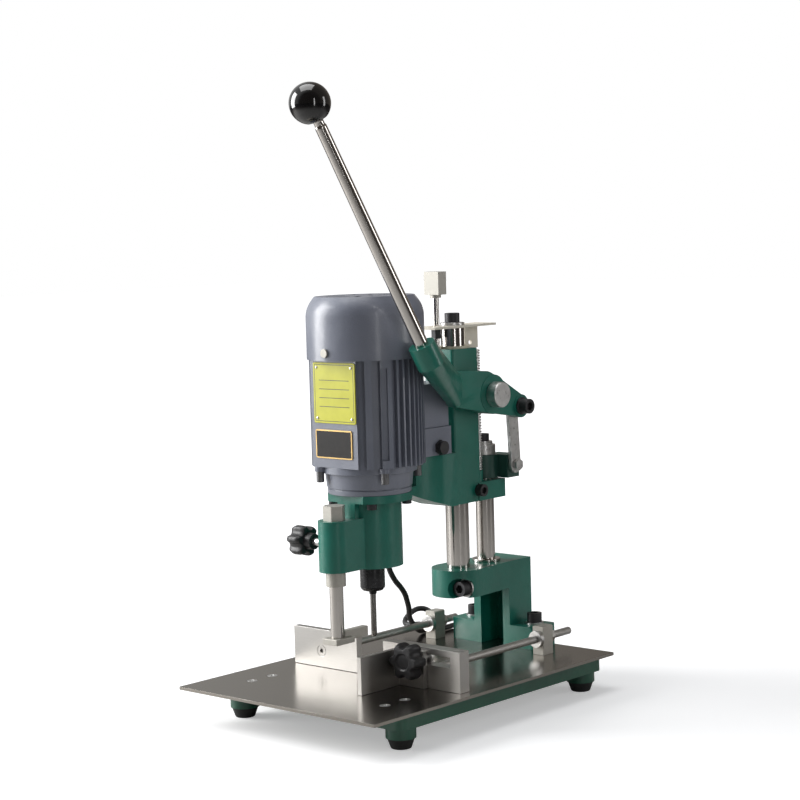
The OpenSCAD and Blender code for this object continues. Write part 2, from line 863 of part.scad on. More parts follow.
module rod_blocks() color("gray") difference() {
    for (side = [-1, 1]) translate([side * rod_x, rod_block_y + rod_block_d, table_z]) rotate([90, 0, 0])
        linear_extrude(rod_block_d) polygon([
            [-rod_block_w / 2, 0], [rod_block_w / 2, 0], [rod_block_w / 2, rod_block_h - chamfer],
            [rod_block_w / 2 - chamfer, rod_block_h], [chamfer - rod_block_w / 2, rod_block_h],
            [-rod_block_w / 2, rod_block_h - chamfer]
        ]);
    at_rods(rod_block_y - cut) cylinder(d = guide_rod_d + 2 * fit, h = rod_block_d + 2 * cut);
}

module rod_lock_nuts() color("silver") {
    at_rods(rod_block_y - lock_ring_t) ring(lock_ring_d, guide_rod_d + 2 * fit, lock_ring_t);
    at_rods(rod_block_y + rod_block_d) difference() {
        cylinder(d = lock_nut_d, h = lock_nut_t, $fn = 6);
        translate([0, 0, -cut]) cylinder(d = guide_rod_d + 2 * fit, h = lock_nut_t + 2 * cut);
    }
}

// Seen from above: the head's arm narrows in a hollow curve from the motor to the carriage
module arm_plan() difference() {
    polygon([
        [-arm_front_w / 2, spindle_y], [arm_front_w / 2, spindle_y], [arm_front_w / 2, arm_waist_y],
        [arm_w / 2, arm_waist_y], [arm_w / 2, front_y - carriage_front + cut],
        [-arm_w / 2, front_y - carriage_front + cut], [-arm_w / 2, arm_waist_y],
        [-arm_front_w / 2, arm_waist_y]
    ]);
    for (side = [-1, 1]) translate([side * (arm_waist_w / 2 + arm_concave_r), arm_waist_y])
        circle(r = arm_concave_r);
}

// Seen from the side
module arm_profile() polygon([
    [spindle_y, flange_z - flange_t], [spindle_y + flange_r, flange_z - flange_t],
    [front_y - block_front, block_z], [front_y - carriage_front + cut, block_z],
    [front_y - carriage_front + cut, flange_z + arm_top_h],
    [spindle_y + arm_relief_r, flange_z + arm_top_h], [spindle_y + arm_relief_r, flange_z],
    [spindle_y, flange_z]
]);

module block_plan() {
    translate([0, front_y + (block_rear - block_front) / 2])
        rounded_rect(carriage_w, block_front + block_rear, carriage_corner_r);
}

front_bush_d = front_column_d + 2 * fit + 2 * bush_wall;
rear_bush_d = rear_column_d + 2 * fit + 2 * bush_wall;
// The clamp screw ends clear of the front bush
clamp_screw_l = carriage_w / 2 - screw_gap
    - sqrt(pow(front_bush_d / 2, 2) - pow(clamp_screw_back - m8[0] / 2 - screw_gap, 2));

module head_solids() {
    intersection() {
        rotate([90, 0, 90]) translate([0, 0, -arm_front_w / 2]) linear_extrude(arm_front_w) arm_profile();
        translate([0, 0, block_z - cut]) linear_extrude(flange_z + arm_top_h - block_z + 2 * cut) arm_plan();
    }
    translate([0, front_y + (carriage_rear - carriage_front) / 2, block_z])
        linear_extrude(block_h + carriage_h)
        rounded_rect(carriage_w, carriage_front + carriage_rear, carriage_corner_r);
    translate([0, 0, block_z]) linear_extrude(block_h) block_plan();
    difference() {
        translate([0, spindle_y, flange_z - flange_t]) cylinder(r = flange_r, h = flange_t);
        translate([-flange_r, spindle_y - flange_flat - flange_r, flange_z - flange_t - cut])
            cube([2 * flange_r, flange_r, flange_t + 2 * cut]);
    }
    translate([0, spindle_y, housing_z]) cylinder(r = housing_r, h = housing_h + flange_t / 2);
    translate([0, 0, lug_z]) linear_extrude(lug_h) {
        translate([0, press_y]) circle(r = lug_r);
        translate([-lug_r, press_y]) square([2 * lug_r, press_gap - housing_bore_d / 2 - fillet]);
    }
    translate([-neck_w / 2, spindle_y - flange_flat, lug_top])
        cube([neck_w, neck_rear, flange_z - flange_t / 2 - lug_top]);
    at_x(carriage_w / 2, pivot_y, pivot_z) cylinder(d = pivot_land_d, h = pivot_land_t);
    translate([spring_x, spring_y, block_top]) cylinder(d = spring_d, h = spring_post_h);
    translate([stop_x, stop_y, carriage_top - stop_boss_h]) cylinder(d = stop_boss_d, h = stop_boss_h);
}

module at_mount_bolts(z) for (x = [-1, 1], y = [-1, 1])
    translate([x * mount_bolt_x, spindle_y + y * mount_bolt_x, z]) children();

module head_casting() color("teal") difference() {
    head_solids();
    translate([0, front_y, block_z - cut]) cylinder(d = front_bush_d, h = block_h + carriage_h + 2 * cut);
    translate([0, rear_y, block_z - cut]) cylinder(d = rear_bush_d, h = block_h + 2 * cut);
    translate([0, spindle_y, housing_z - cut])
        cylinder(d = housing_bore_d, h = housing_h + flange_t + 2 * cut);
    translate([0, press_y, lug_z - cut]) cylinder(d = guide_d, h = lug_h + 2 * cut);
    at_x(-lug_r - cut, press_y, lug_z + lug_h / 2 + lock_knob_up)
        cylinder(d = lock_stud_d + 2 * fit, h = lug_r + cut);
    at_mount_bolts(flange_z - flange_t - cut) cylinder(d = m6[0] + 2 * screw_gap, h = flange_t + 2 * cut);
    at_x(carriage_w / 2 + pivot_land_t - pivot_bolt_seat, pivot_y, pivot_z)
        cylinder(d = pivot_bolt_d + 2 * fit, h = pivot_bolt_seat + cut);
    translate([carriage_w / 2 - clamp_slit_depth, front_y + clamp_screw_back - clamp_slit / 2,
               block_z - cut])
        cube([clamp_slit_depth + cut, clamp_slit, block_h + cut]);
    at_x(carriage_w / 2 - clamp_screw_l - cut, front_y + clamp_screw_back, block_z + clamp_screw_h)
        cylinder(d = m8[0] + 2 * screw_gap, h = clamp_screw_l + 2 * cut);
    translate([stop_x, stop_y, carriage_top - stop_boss_h - cut])
        cylinder(d = stop_rod_d + 2 * fit, h = stop_boss_h + 2 * cut);
}

module guide_bushes() color("ivory") {
    translate([0, front_y, block_z]) ring(front_bush_d, front_column_d + 2 * fit, bush_h);
    translate([0, front_y, carriage_top - bush_h]) ring(front_bush_d, front_column_d + 2 * fit, bush_h);
    translate([0, front_y, carriage_top]) ring(seal_d, front_column_d + 2 * fit, seal_t);
    translate([0, rear_y, block_z]) ring(rear_bush_d, rear_column_d + 2 * fit, bush_h);
}

module head_cap_screws() color("dimgray") {
    at_mount_bolts(flange_z - flange_t) rotate([180, 0, 0]) cap_screw(m6, mount_bolt_l);
    at_x(carriage_w / 2, front_y + clamp_screw_back, block_z + clamp_screw_h) cap_screw(m8, clamp_screw_l);
}

module at_ties(z) for (a = lug_bolt_angles)
    translate([tie_r * cos(a), spindle_y + tie_r * sin(a), z]) children();

// A cooling groove down the motor frame
module groove(heading, w) translate([0, spindle_y, frame_z]) rotate(heading)
    translate([motor_d / 2 - fin_depth, -w / 2, -cut]) cube([fin_depth + cut, w, motor_h + 2 * cut]);

module motor_frame() color("steelblue") difference() {
    translate([0, spindle_y, frame_z]) cylinder(d = motor_d, h = motor_h);
    translate([0, spindle_y, frame_z - cut]) cylinder(d = motor_bore_d, h = motor_h + 2 * cut);
    translate([-motor_d / 2, spindle_y - panel_flat - motor_d, frame_z - cut])
        cube([motor_d, motor_d, motor_h + 2 * cut]);
    for (side = [0, 180]) {
        for (i = [0 : grooves - 1]) groove(side + groove_first + i * groove_step, fin_gap);
        for (a = wide_groove_angles) groove(side + a, wide_groove_w);
    }
    for (a = pocket_angles) translate([0, spindle_y, frame_z + pocket_in]) rotate(a)
        translate([motor_d / 2 - pocket_depth, -pocket_w / 2])
        cube([pocket_depth + cut, pocket_w, motor_h - 2 * pocket_in]);
    at_ties(frame_z - cut) cylinder(d = tie_d + 2 * screw_gap, h = motor_h + 2 * cut);
}

module stator() color("saddlebrown") translate([0, spindle_y, frame_z + (motor_h - stator_h) / 2]) {
    ring(motor_bore_d, stator_bore_d, stator_h);
    for (z = [-winding_h, stator_h]) translate([0, 0, z]) ring(winding_d, stator_bore_d, winding_h);
}

// The fan cover's rounded shoulder, from its wall up to its top
shoulder = [
    for (i = [0 : shoulder_steps]) let (s = i / shoulder_steps)
        [cover_d / 2 + s * (cover_top_d - cover_d) / 2 + shoulder_bulge * sin(180 * s),
         cover_h + s * cover_cone_h]
];

module fan_cover() color("steelblue") difference() {
    translate([0, spindle_y, frame_top]) rotate_extrude() polygon(concat(
        [[cover_d / 2 - cover_t, 0], [cover_d / 2, 0]], shoulder,
        [[0, cover_h + cover_cone_h], [0, cover_h + cover_cone_h - cover_t]],
        [for (i = [shoulder_steps : -1 : 0]) shoulder[i] - [cover_t, cover_t]]
    ));
    for (i = [1 : vents]) translate([0, spindle_y, cover_top - 2 * cover_t]) rotate(i * 360 / vents)
        translate([slot_ring_r - slot_vent_l / 2, -slot_vent_w / 2])
        cube([slot_vent_l, slot_vent_w, 3 * cover_t]);
    at_cover_screws() translate([0, 0, -cover_t - cut])
        cylinder(d = m5[0] + 2 * screw_gap, h = cover_t + 2 * cut);
}

// The fan cover's three screws point outwards from its wall
module at_cover_screws() for (a = cover_screw_angles) translate([0, spindle_y, frame_top + cover_screw_lift])
    rotate(a) translate([cover_d / 2, 0]) rotate([0, 90, 0]) children();

module cover_screws() color("silver") at_cover_screws() {
    cylinder(d = cover_screw_d, h = cover_screw_t);
    translate([0, 0, -cover_screw_l]) cylinder(d = m5[0], h = cover_screw_l);
}

module upper_shield() color("slategray") difference() {
    translate([0, spindle_y, frame_top]) cylinder(d = cover_d - 2 * cover_t, h = upper_shield_h);
    translate([0, spindle_y, frame_top - cut]) cylinder(d = bearing_d, h = upper_shield_h + 2 * cut);
    at_ties(frame_top - cut) cylinder(d = tie_d + 2 * screw_gap, h = tie_top_h + cut);
    at_cover_screws() translate([0, 0, -cover_screw_l - cut])
        cylinder(d = m5[0] + 2 * screw_gap, h = cover_screw_l + cut);
}

module lower_shield() color("slategray") difference() {
    union() {
        translate([0, spindle_y, flange_z]) {
            cylinder(d = shield_low_d, h = shield_bead_z + shield_groove_t);
            cylinder(d1 = shield_low_d + chamfer, d2 = shield_low_d + 2 * chamfer, h = shield_bead_z);
            translate([0, 0, shield_bead_z + shield_groove_t])
                cylinder(d1 = shield_low_d + 3 * chamfer, d2 = shield_top_d,
                         h = shield_h - shield_bead_z - shield_groove_t);
            translate([0, 0, shield_h - shield_rim_h]) cylinder(d = shield_rim_d, h = shield_rim_h);
        }
        at_ties(frame_z - tie_lug_h) cylinder(r = tie_lug_r, h = tie_lug_h);
    }
    translate([0, spindle_y, flange_z - cut]) cylinder(d = bearing_d, h = shield_h + 2 * cut);
    translate([0, spindle_y, flange_z + shield_floor])
        cylinder(d = shield_low_d - 2 * shield_wall, h = shield_h);
    at_ties(frame_z - tie_lug_h - cut) cylinder(d = tie_d + 2 * screw_gap, h = tie_lug_h + 2 * cut);
    at_ties(frame_z - tie_lug_h - 2 * tie_head_h)
        cylinder(d = tie_head_d + 2 * screw_gap, h = 2 * tie_head_h);
    at_mount_bolts(flange_z - cut)
        cylinder(d = m6[0] + 2 * screw_gap, h = mount_bolt_l - flange_t + 2 * cut);
}

module tie_bolts() color("dimgray") at_ties(frame_z - tie_lug_h) {
    translate([0, 0, -tie_head_h]) cylinder(d = tie_head_d, h = tie_head_h);
    cylinder(d = tie_d, h = tie_lug_h + motor_h + tie_top_h - gap);
}

module label_plates() {
    color("gold") translate([label_x - label_w / 2, label_y, frame_z + label_lift])
        cube([label_w, label_t, label_h]);
    color("black") translate([badge_x - badge_w / 2, label_y, frame_z + badge_lift])
        cube([badge_w, label_t, badge_h]);
}

// One half of the terminal box, hollow and hugging the motor frame
module box_shell(w, front, rear, low_z, h, floor_z, hollow_h) difference() {
    translate([-w / 2, front, low_z]) cube([w, rear - front, h]);
    translate([-w / 2 + box_wall, spindle_y + motor_d / 2 + box_wall, floor_z])
        cube([w - 2 * box_wall, rear - box_wall - spindle_y - motor_d / 2 - box_wall, hollow_h]);
    translate([0, spindle_y, low_z - cut]) cylinder(d = motor_d, h = h + 2 * cut);
}

module at_glands() for (side = [-1, 1]) translate([side * box_w / 2, gland_y, box_z + gland_lift])
    rotate([0, side * 90, 0]) children();

module terminal_box() color("steelblue") difference() {
    box_shell(box_w, box_y - box_front, box_y, box_z, box_low_h, box_z + box_wall, box_low_h);
    at_glands() translate([0, 0, -2 * box_wall]) cylinder(d = cord_d + 2 * fit, h = 3 * box_wall);
}

module terminal_lid() color("steelblue")
    box_shell(box_w - 2 * lid_inset, box_y - box_front, box_y - lid_inset, box_z + box_low_h, box_cap_h,
              box_z + box_low_h - cut, box_cap_h - box_wall + cut);

module cable_glands() color("black") {
    at_glands() difference() {
        union() {
            cylinder(d = gland_d, h = gland_hex_t, $fn = 6);
            translate([0, 0, gland_hex_t]) cylinder(d = gland_nut_d, h = gland_nut_t);
        }
        translate([0, 0, -cut]) cylinder(d = cord_d + 2 * fit, h = gland_hex_t + gland_nut_t + 2 * cut);
    }
    translate([box_w / 2, gland_y, box_z + gland_lift]) rotate([0, 90, 0])
        cylinder(d = cord_d + 2 * fit, h = gland_hex_t + gland_nut_t);
    translate([-box_w / 2, gland_y, box_z + gland_lift]) rotate([0, -90, 0])
        cylinder(d = cord_d + 2 * fit, h = gland_hex_t + gland_nut_t);
}

module shaft_bearings() color("silver") {
    for (z = [flange_z, frame_top]) translate([0, spindle_y, z])
        ring(bearing_d, shaft_d + 2 * fit, bearing_h);
    translate([0, spindle_y, housing_z]) ring(housing_bore_d, spindle_d + 2 * fit, bearing_h);
}

module press_guide() color("gray") difference() {
    union() {
        translate([0, press_y, lug_z - guide_collar_h]) cylinder(d = guide_collar_d, h = guide_collar_h);
        translate([0, press_y, lug_z - cut]) cylinder(d = guide_d, h = lug_h + 2 * cut);
        translate([0, press_y, lug_top]) cylinder(d = guide_hex_d, h = guide_hex_h, $fn = 6);
    }
    translate([0, press_y, lug_z - guide_collar_h - cut])
        cylinder(d = press_rod_d + 2 * fit, h = guide_collar_h + lug_h + guide_hex_h - guide_cap_t + cut);
}

module press_spring() color("silver") translate([0, press_y, press_z + press_foot_h + press_rod_h])
    ring(press_spring_d, press_spring_d - 2 * spring_wire,
         lug_top + guide_hex_h - guide_cap_t - press_z - press_foot_h - press_rod_h);

module lever_pivot_bolt() color("lightgray") {
    at_x(carriage_w / 2 + pivot_land_t - pivot_bolt_seat, pivot_y, pivot_z)
        cylinder(d = pivot_bolt_d,
                 h = lever_x + lever_t + gap - carriage_w / 2 - pivot_land_t + pivot_bolt_seat);
    at_x(lever_x + lever_t + gap, pivot_y, pivot_z) cylinder(d = pivot_cap_d, h = pivot_cap_t);
}

module depth_stop_rod() color("lightgray") translate([stop_x, stop_y, carriage_top - stop_boss_h])
    cylinder(d = stop_rod_d, h = stop_boss_h + headroom + top_plate_t + stroke + stop_seat_h + stop_block_h);

module depth_stop_block() color("dimgray") translate([stop_x, stop_y, top_z + top_plate_t + stroke])
    difference() {
        union() {
            cylinder(d = stop_seat_d, h = stop_seat_h);
            translate([-stop_block_w / 2, -stop_block_d / 2, stop_seat_h])
                cube([stop_block_w, stop_block_d, stop_block_h]);
        }
        translate([0, 0, -cut]) cylinder(d = stop_rod_d + 2 * fit, h = stop_seat_h + stop_block_h + 2 * cut);
    }

module depth_stop_nut() color("dimgray") translate([stop_x, stop_y, top_z - gap - stop_nut_h]) difference() {
    cylinder(d = stop_nut_d, h = stop_nut_h, $fn = 6);
    translate([0, 0, -cut]) cylinder(d = stop_rod_d + 2 * fit, h = stop_nut_h + 2 * cut);
}

module rotor() color("silver") translate([0, spindle_y]) {
    translate([0, 0, housing_z]) cylinder(d = spindle_d, h = flange_z - gap - housing_z);
    translate([0, 0, flange_z - gap])
        cylinder(d = shaft_d, h = frame_top + upper_shield_h + fan_rise + fan_h - flange_z + gap);
    translate([0, 0, frame_z + (motor_h - rotor_core_h) / 2])
        cylinder(d = rotor_core_d, h = rotor_core_h);
}

module cooling_fan() color("black") translate([0, spindle_y, frame_top + upper_shield_h + fan_rise]) {
    ring(fan_hub_d, shaft_d, fan_h);
    for (i = [1 : blades]) rotate(i * 360 / blades)
        translate([fan_hub_d / 2 - fan_blade_t / 2, -fan_blade_t / 2])
        cube([(fan_d - fan_hub_d + fan_blade_t) / 2, fan_blade_t, fan_h]);
}

module drill_chuck() color("dimgray") translate([0, spindle_y, housing_z - chuck_h]) difference() {
    union() {
        cylinder(d1 = chuck_d - 2 * chuck_taper, d2 = chuck_d, h = chuck_taper);
        translate([0, 0, chuck_taper]) cylinder(d = chuck_d, h = chuck_h - gap - chuck_taper);
        cylinder(d = spindle_d, h = chuck_h);
        translate([0, 0, -chuck_nose_h])
            cylinder(d1 = chuck_nose_d - 2 * chamfer, d2 = chuck_nose_d, h = chuck_nose_h + cut);
    }
    translate([0, 0, -chuck_nose_h - cut]) cylinder(d = drill_shank_d, h = chuck_nose_h + drill_seat + cut);
}

module drill_bit() color("silver") translate([0, spindle_y, housing_z - chuck_h]) {
    translate([0, 0, -drill_shank_h]) cylinder(d = drill_shank_d, h = drill_shank_h + drill_seat);
    translate([0, 0, -drill_shank_h - drill_h]) cylinder(d = drill_d, h = drill_h);
}

module press_rod() color("lightgray") translate([0, press_y, press_z + press_foot_h])
    cylinder(d = press_rod_d, h = press_rod_h);

module press_foot() color("silver") {
    translate([-press_foot_w / 2, press_y - press_foot_front, press_z])
        cube([press_foot_w, press_foot_d, press_foot_h]);
    translate([-press_finger_w / 2, press_y + press_rod_d / 2, press_z + press_foot_h - press_finger_drop])
        cube([press_finger_w, press_finger_d, press_finger_h]);
}

module press_lock_knob() color("black")
    translate([0, press_y, lug_z + lug_h / 2 + lock_knob_up]) rotate([0, -90, 0]) {
        translate([0, 0, guide_d / 2 + gap]) cylinder(d = lock_stud_d, h = lock_knob_x - guide_d / 2 - gap);
        translate([0, 0, lock_knob_x - lock_hub_t]) cylinder(d = lock_hub_d, h = lock_hub_t);
        translate([0, 0, lock_knob_x]) star(lock_knob_d, lock_knob_t);
    }

module along_rod() translate(rod_foot)
    rotate([0, acos(rod_way_share[2]), atan2(rod_way_share[1], rod_way_share[0])]) children();

module lever_casting() color("teal") difference() {
    union() {
        at_x(pivot_boss_x, pivot_y, pivot_z)
            cylinder(r = pivot_boss_r, h = lever_x + lever_t - pivot_boss_x);
        at_x(lever_x, rear_pin_y, rear_pin_z) cylinder(r = rear_boss_r, h = lever_t);
        translate([lever_x + web_inset, 0, 0]) rotate([90, 0, 90]) linear_extrude(lever_t - 2 * web_inset) {
            hull() {
                translate([pivot_y, pivot_z]) circle(r = pivot_boss_r - chamfer, $fn = hull_fn);
                translate([pivot_y, pivot_z] + hub) circle(r = hub_r, $fn = hull_fn);
                translate([rear_pin_y, rear_pin_z]) circle(r = rear_boss_r - chamfer, $fn = hull_fn);
            }
            hull() {
                translate([pivot_y, pivot_z]) circle(r = pivot_boss_r - chamfer, $fn = hull_fn);
                translate([pivot_y, pivot_z] + hub) circle(r = hub_r, $fn = hull_fn);
                translate([pivot_y, pivot_z] + heel) circle(r = heel_r, $fn = hull_fn);
                translate([pivot_y + bend[1], pivot_z + bend[2]]) circle(r = bend_r, $fn = hull_fn);
            }
        }
        hull() {
            at_x(lever_x + chamfer, pivot_y + bend[1], pivot_z + bend[2])
                cylinder(r = bend_r - web_inset, h = lever_t - 2 * chamfer, $fn = hull_fn);
            at_x(lever_x + chamfer, pivot_y + heel[0], pivot_z + heel[1])
                cylinder(r = heel_r - web_inset, h = lever_t - 2 * chamfer, $fn = hull_fn);
            along_rod() translate([0, 0, chamfer - socket_h])
                cylinder(d = arm_root_d, h = socket_h - 2 * chamfer, $fn = hull_fn);
        }
        along_rod() translate([0, 0, -socket_h]) cylinder(d = socket_d, h = socket_h);
    }
    at_x(pivot_boss_x - cut, pivot_y, pivot_z) cylinder(d = pivot_bolt_d + 2 * fit, h = lever_x + lever_t);
    at_x(lever_x - cut, rear_pin_y, rear_pin_z) cylinder(d = rear_pin_d + 2 * fit, h = lever_t + 2 * cut);
    along_rod() translate([0, 0, -rod_seat]) cylinder(d = rod_low_d, h = rod_seat + cut);
}

module lever_rod() color("lightgray") along_rod() {
    translate([0, 0, -rod_seat]) cylinder(d = rod_low_d, h = rod_seat);
    cylinder(d1 = rod_low_d, d2 = rod_top_d, h = rod_length - ball_d / 2 + ball_flat);
    translate([0, 0, rod_length - ball_d / 2]) cylinder(d = rod_top_d, h = ball_d / 2);
}

module ball_knob() color("black") along_rod() difference() {
    translate([0, 0, rod_length]) sphere(d = ball_d);
    translate([0, 0, rod_length - ball_d]) cylinder(d = rod_top_d + 2 * fit, h = ball_d);
    translate([-ball_d / 2, -ball_d / 2, rod_length - ball_d])
        cube([ball_d, ball_d, ball_d / 2 + ball_flat]);
}

module lever_rear_pin() color("dimgray") {
    at_x(link_x - gap, rear_pin_y, rear_pin_z)
        cylinder(d = rear_pin_d, h = lever_x + lever_t + gap - link_x);
    at_x(lever_x + lever_t, rear_pin_y, rear_pin_z) cylinder(d = rear_washer_d, h = rear_washer_t);
    at_x(lever_x + lever_t + rear_washer_t, rear_pin_y, rear_pin_z) cap_screw(m10, rear_washer_t / 2);
}

module link_bar() color("dimgray") translate([link_x, 0, 0]) rotate([90, 0, 90]) linear_extrude(link_t)
    difference() {
        union() {
            translate([link_y, link_pin_z]) {
                circle(d = link_w + 2 * chamfer);
                rotate(atan2(link_y - rear_pin_y, rear_pin_z - link_pin_z)) translate([-link_w / 2, 0])
                    square([link_w, norm([link_y - rear_pin_y, rear_pin_z - link_pin_z])]);
            }
            translate([rear_pin_y, rear_pin_z]) circle(r = rear_boss_r);
        }
        translate([link_y, link_pin_z]) circle(d = link_pin_d + 2 * fit);
        translate([rear_pin_y, rear_pin_z])
            square([2 * pin_slot_travel + rear_pin_d, rear_pin_d + 2 * gap], center = true);
    }

// A rod along Y with a countersunk screw that holds it to the back of its fence
module guide_rod(x, fence_front, fence_t, head_d, l) {
    difference() {
        at_y(x, fence_front + fence_t, rod_z) cylinder(d = guide_rod_d, h = l);
        at_y(x, fence_front + fence_t - cut, rod_z)
            cylinder(d = rod_screw_d + 2 * screw_gap, h = rod_screw_l + cut);
    }
    translate([x, fence_front, rod_z]) rotate([90, 0, 0])
        flat_screw(head_d, rod_screw_d, fence_t + rod_screw_l - gap);
}

module left_fence() color("gainsboro") difference() {
    translate([fence_x - fence_gap - left_fence_w, left_fence_y, table_z + gap])
        cube([left_fence_w, left_fence_t, left_fence_h]);
    translate([-rod_x, left_fence_y, rod_z]) rotate([90, 0, 0])
        flat_screw_hole(fence_screw_d, rod_screw_d, left_fence_t + cut);
}

module left_rod() color("silver")
    guide_rod(-rod_x, left_fence_y, left_fence_t, fence_screw_d, left_rod_l);

module right_fence() color("gainsboro") difference() {
    translate([fence_x, right_fence_y, table_z + gap]) cube([right_fence_w, right_fence_t, right_fence_h]);
    translate([fence_x + slot_x, right_fence_y - cut, table_z + slot_lift])
        cube([slot_l, right_fence_t + 2 * cut, slot_h]);
    translate([rod_x, right_fence_y, rod_z]) rotate([90, 0, 0])
        flat_screw_hole(right_screw_head_d, rod_screw_d, right_fence_t + cut);
}

module right_rod() color("silver")
    guide_rod(rod_x, right_fence_y, right_fence_t, right_screw_head_d, right_rod_l);

module side_stop() color("gainsboro") difference() {
    union() {
        translate([stop_plate_left, right_fence_y - gap - stop_plate_d, table_z + gap])
            cube([stop_plate_t, stop_plate_d, stop_plate_h]);
        translate([stop_plate_left, right_fence_y - gap - stop_plate_t, table_z + gap])
            cube([stop_flange_w, stop_plate_t, stop_plate_h]);
    }
    at_y(knob_x, right_fence_y - gap - stop_plate_t - cut, knob_z)
        cylinder(d = knob_stud_d + 2 * fit, h = stop_plate_t + 2 * cut);
}

module side_stop_knob() color("black") translate([knob_x, right_fence_y, knob_z]) rotate([90, 0, 0]) {
    translate([0, 0, -right_fence_t - gap - t_head_t]) cylinder(d = t_head_d, h = t_head_t);
    translate([0, 0, -right_fence_t - gap])
        cylinder(d = knob_stud_d, h = right_fence_t + stop_plate_t + 3 * gap);
    translate([0, 0, stop_plate_t + 2 * gap]) cylinder(d = washer_d, h = knob_hub_t);
    translate([0, 0, stop_plate_t + 2 * gap + knob_hub_t]) star(stop_knob_d, knob_t);
}

// The return spring is one wire: a helix with a short straight end on the block and on the tab
spring_r = (spring_d - spring_wire) / 2;
spring_coil_h = spring_top - spring_low - 2 * spring_wire;
spring_curls = round(spring_coil_h / spring_pitch);
spring_rings = 8;
spring_sides = 6;
spring_path = concat(
    [[spring_x, spring_y - spring_r, spring_low]],
    [
        for (i = [0 : spring_curls * spring_rings]) let (a = i * 360 / spring_rings - 90)
            [spring_x + spring_r * cos(a), spring_y + spring_r * sin(a),
             spring_low + spring_wire + i * spring_coil_h / (spring_curls * spring_rings)]
    ],
    [[spring_x, spring_y - spring_r, spring_top]]
);

module return_spring() {
    echo(spring_least_gap = least_gap(spring_path, spring_wire / 2, 4));
    color("silver")
        tube(spring_path, spring_wire / 2, spring_sides, [0, -1, 0], 0, len(spring_path) - 1);
}

// The mains cord
cord_path = concat(drop_points, [for (i = [1 : len(run_points) - 1]) run_points[i]]);
drop_last = len(drop_points) - 1;

module cord_drop() color("black") tube(cord_path, cord_d / 2, cord_sides, [0, 0, 1], 0, drop_last);

module cord_run() color("black")
    tube(cord_path, cord_d / 2, cord_sides, [0, 0, 1], drop_last, len(cord_path) - 1);

// The coil spirals inwards on the floor, climbs in half a turn and spirals outwards on top
function coil_radius(turn) =
    coil_in_r + coil_step * max(coil_turns / 2 - coil_climb / 2 - turn,
                                turn - coil_turns / 2 - coil_climb / 2, 0);
function coil_height(turn) =
    coil_low_z + coil_rise * min(max((turn - coil_turns / 2 + coil_climb / 2) / coil_climb, 0), 1);
coil_path = concat(
    [
        for (i = [0 : coil_turns * coil_rings]) let (turn = i / coil_rings, a = 180 - turn * 360)
            [coil_x + coil_radius(turn) * cos(a), coil_y + coil_radius(turn) * sin(a), coil_height(turn)]
    ],
    tail_points
);

module cord_coil() {
    echo(coil_least_gap = least_gap(coil_path, cord_d / 2, 8));
    color("black") tube(coil_path, cord_d / 2, coil_sides, [0, 0, 1], 0, len(coil_path) - 1);
}

module plug() color("black") translate([plug_x, plug_y, plug_h / 2 + screw_gap]) rotate([90, 0, 90]) {
    cylinder(d1 = plug_relief_d, d2 = plug_relief_d + 2 * chamfer, h = plug_relief_l);
    translate([0, 0, plug_relief_l]) linear_extrude(plug_l) rounded_rect(plug_w, plug_h, fillet);
    for (side = [-1, 1]) translate([side * plug_pin_gap / 2, 0, plug_relief_l + plug_l])
        cylinder(d = plug_pin_d, h = plug_pin_l);
}

base_casting();
table_plate();
table_screws();
rubber_feet();
column_bracket();
base_cap_screws();
base_washers();
front_column();
rear_column();
top_plate();
column_cap_screws();
column_cap_washers();
link_bracket();
link_pin();
rod_blocks();
rod_lock_nuts();
head_casting();
guide_bushes();
head_cap_screws();
motor_frame();
stator();
fan_cover();
cover_screws();
upper_shield();
lower_shield();
tie_bolts();
label_plates();
terminal_box();
terminal_lid();
cable_glands();
shaft_bearings();
press_guide();
press_spring();
lever_pivot_bolt();
depth_stop_rod();
depth_stop_block();
depth_stop_nut();
rotor();
cooling_fan();
drill_chuck();
drill_bit();
press_rod();
press_foot();
press_lock_knob();
lever_casting();
lever_rod();
ball_knob();
lever_rear_pin();
link_bar();
left_fence();
left_rod();
right_fence();
right_rod();
side_stop();
side_stop_knob();
return_spring();
cord_drop();
cord_run();
cord_coil();
plug();
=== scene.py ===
import math
import bmesh
import bpy
import numpy as np
from mathutils import Matrix
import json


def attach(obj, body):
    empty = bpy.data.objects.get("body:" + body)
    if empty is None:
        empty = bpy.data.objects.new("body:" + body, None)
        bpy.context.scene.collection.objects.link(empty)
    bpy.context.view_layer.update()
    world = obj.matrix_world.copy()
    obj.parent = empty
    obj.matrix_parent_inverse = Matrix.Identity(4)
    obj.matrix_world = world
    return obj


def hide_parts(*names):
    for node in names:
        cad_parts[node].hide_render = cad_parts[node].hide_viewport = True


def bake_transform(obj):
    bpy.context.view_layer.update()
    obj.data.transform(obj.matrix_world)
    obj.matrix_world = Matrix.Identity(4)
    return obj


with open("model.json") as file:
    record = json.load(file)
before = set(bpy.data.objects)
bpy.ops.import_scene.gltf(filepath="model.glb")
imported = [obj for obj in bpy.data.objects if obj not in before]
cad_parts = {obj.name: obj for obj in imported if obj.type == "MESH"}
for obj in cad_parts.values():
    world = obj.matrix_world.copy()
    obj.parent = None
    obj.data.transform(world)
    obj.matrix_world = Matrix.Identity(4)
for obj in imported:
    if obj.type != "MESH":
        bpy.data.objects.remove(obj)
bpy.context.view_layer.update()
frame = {"nodes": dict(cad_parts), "record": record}
scene = bpy.context.scene
nodeBody = {node: body for body, nodes in frame["record"]["behaviour"]["bodies"].items() for node in nodes}
frameSlots = [material["slot"] for material in frame["record"]["materials"]]
millimetre = 0.001
print("frame loaded:", len(nodeBody), "nodes")

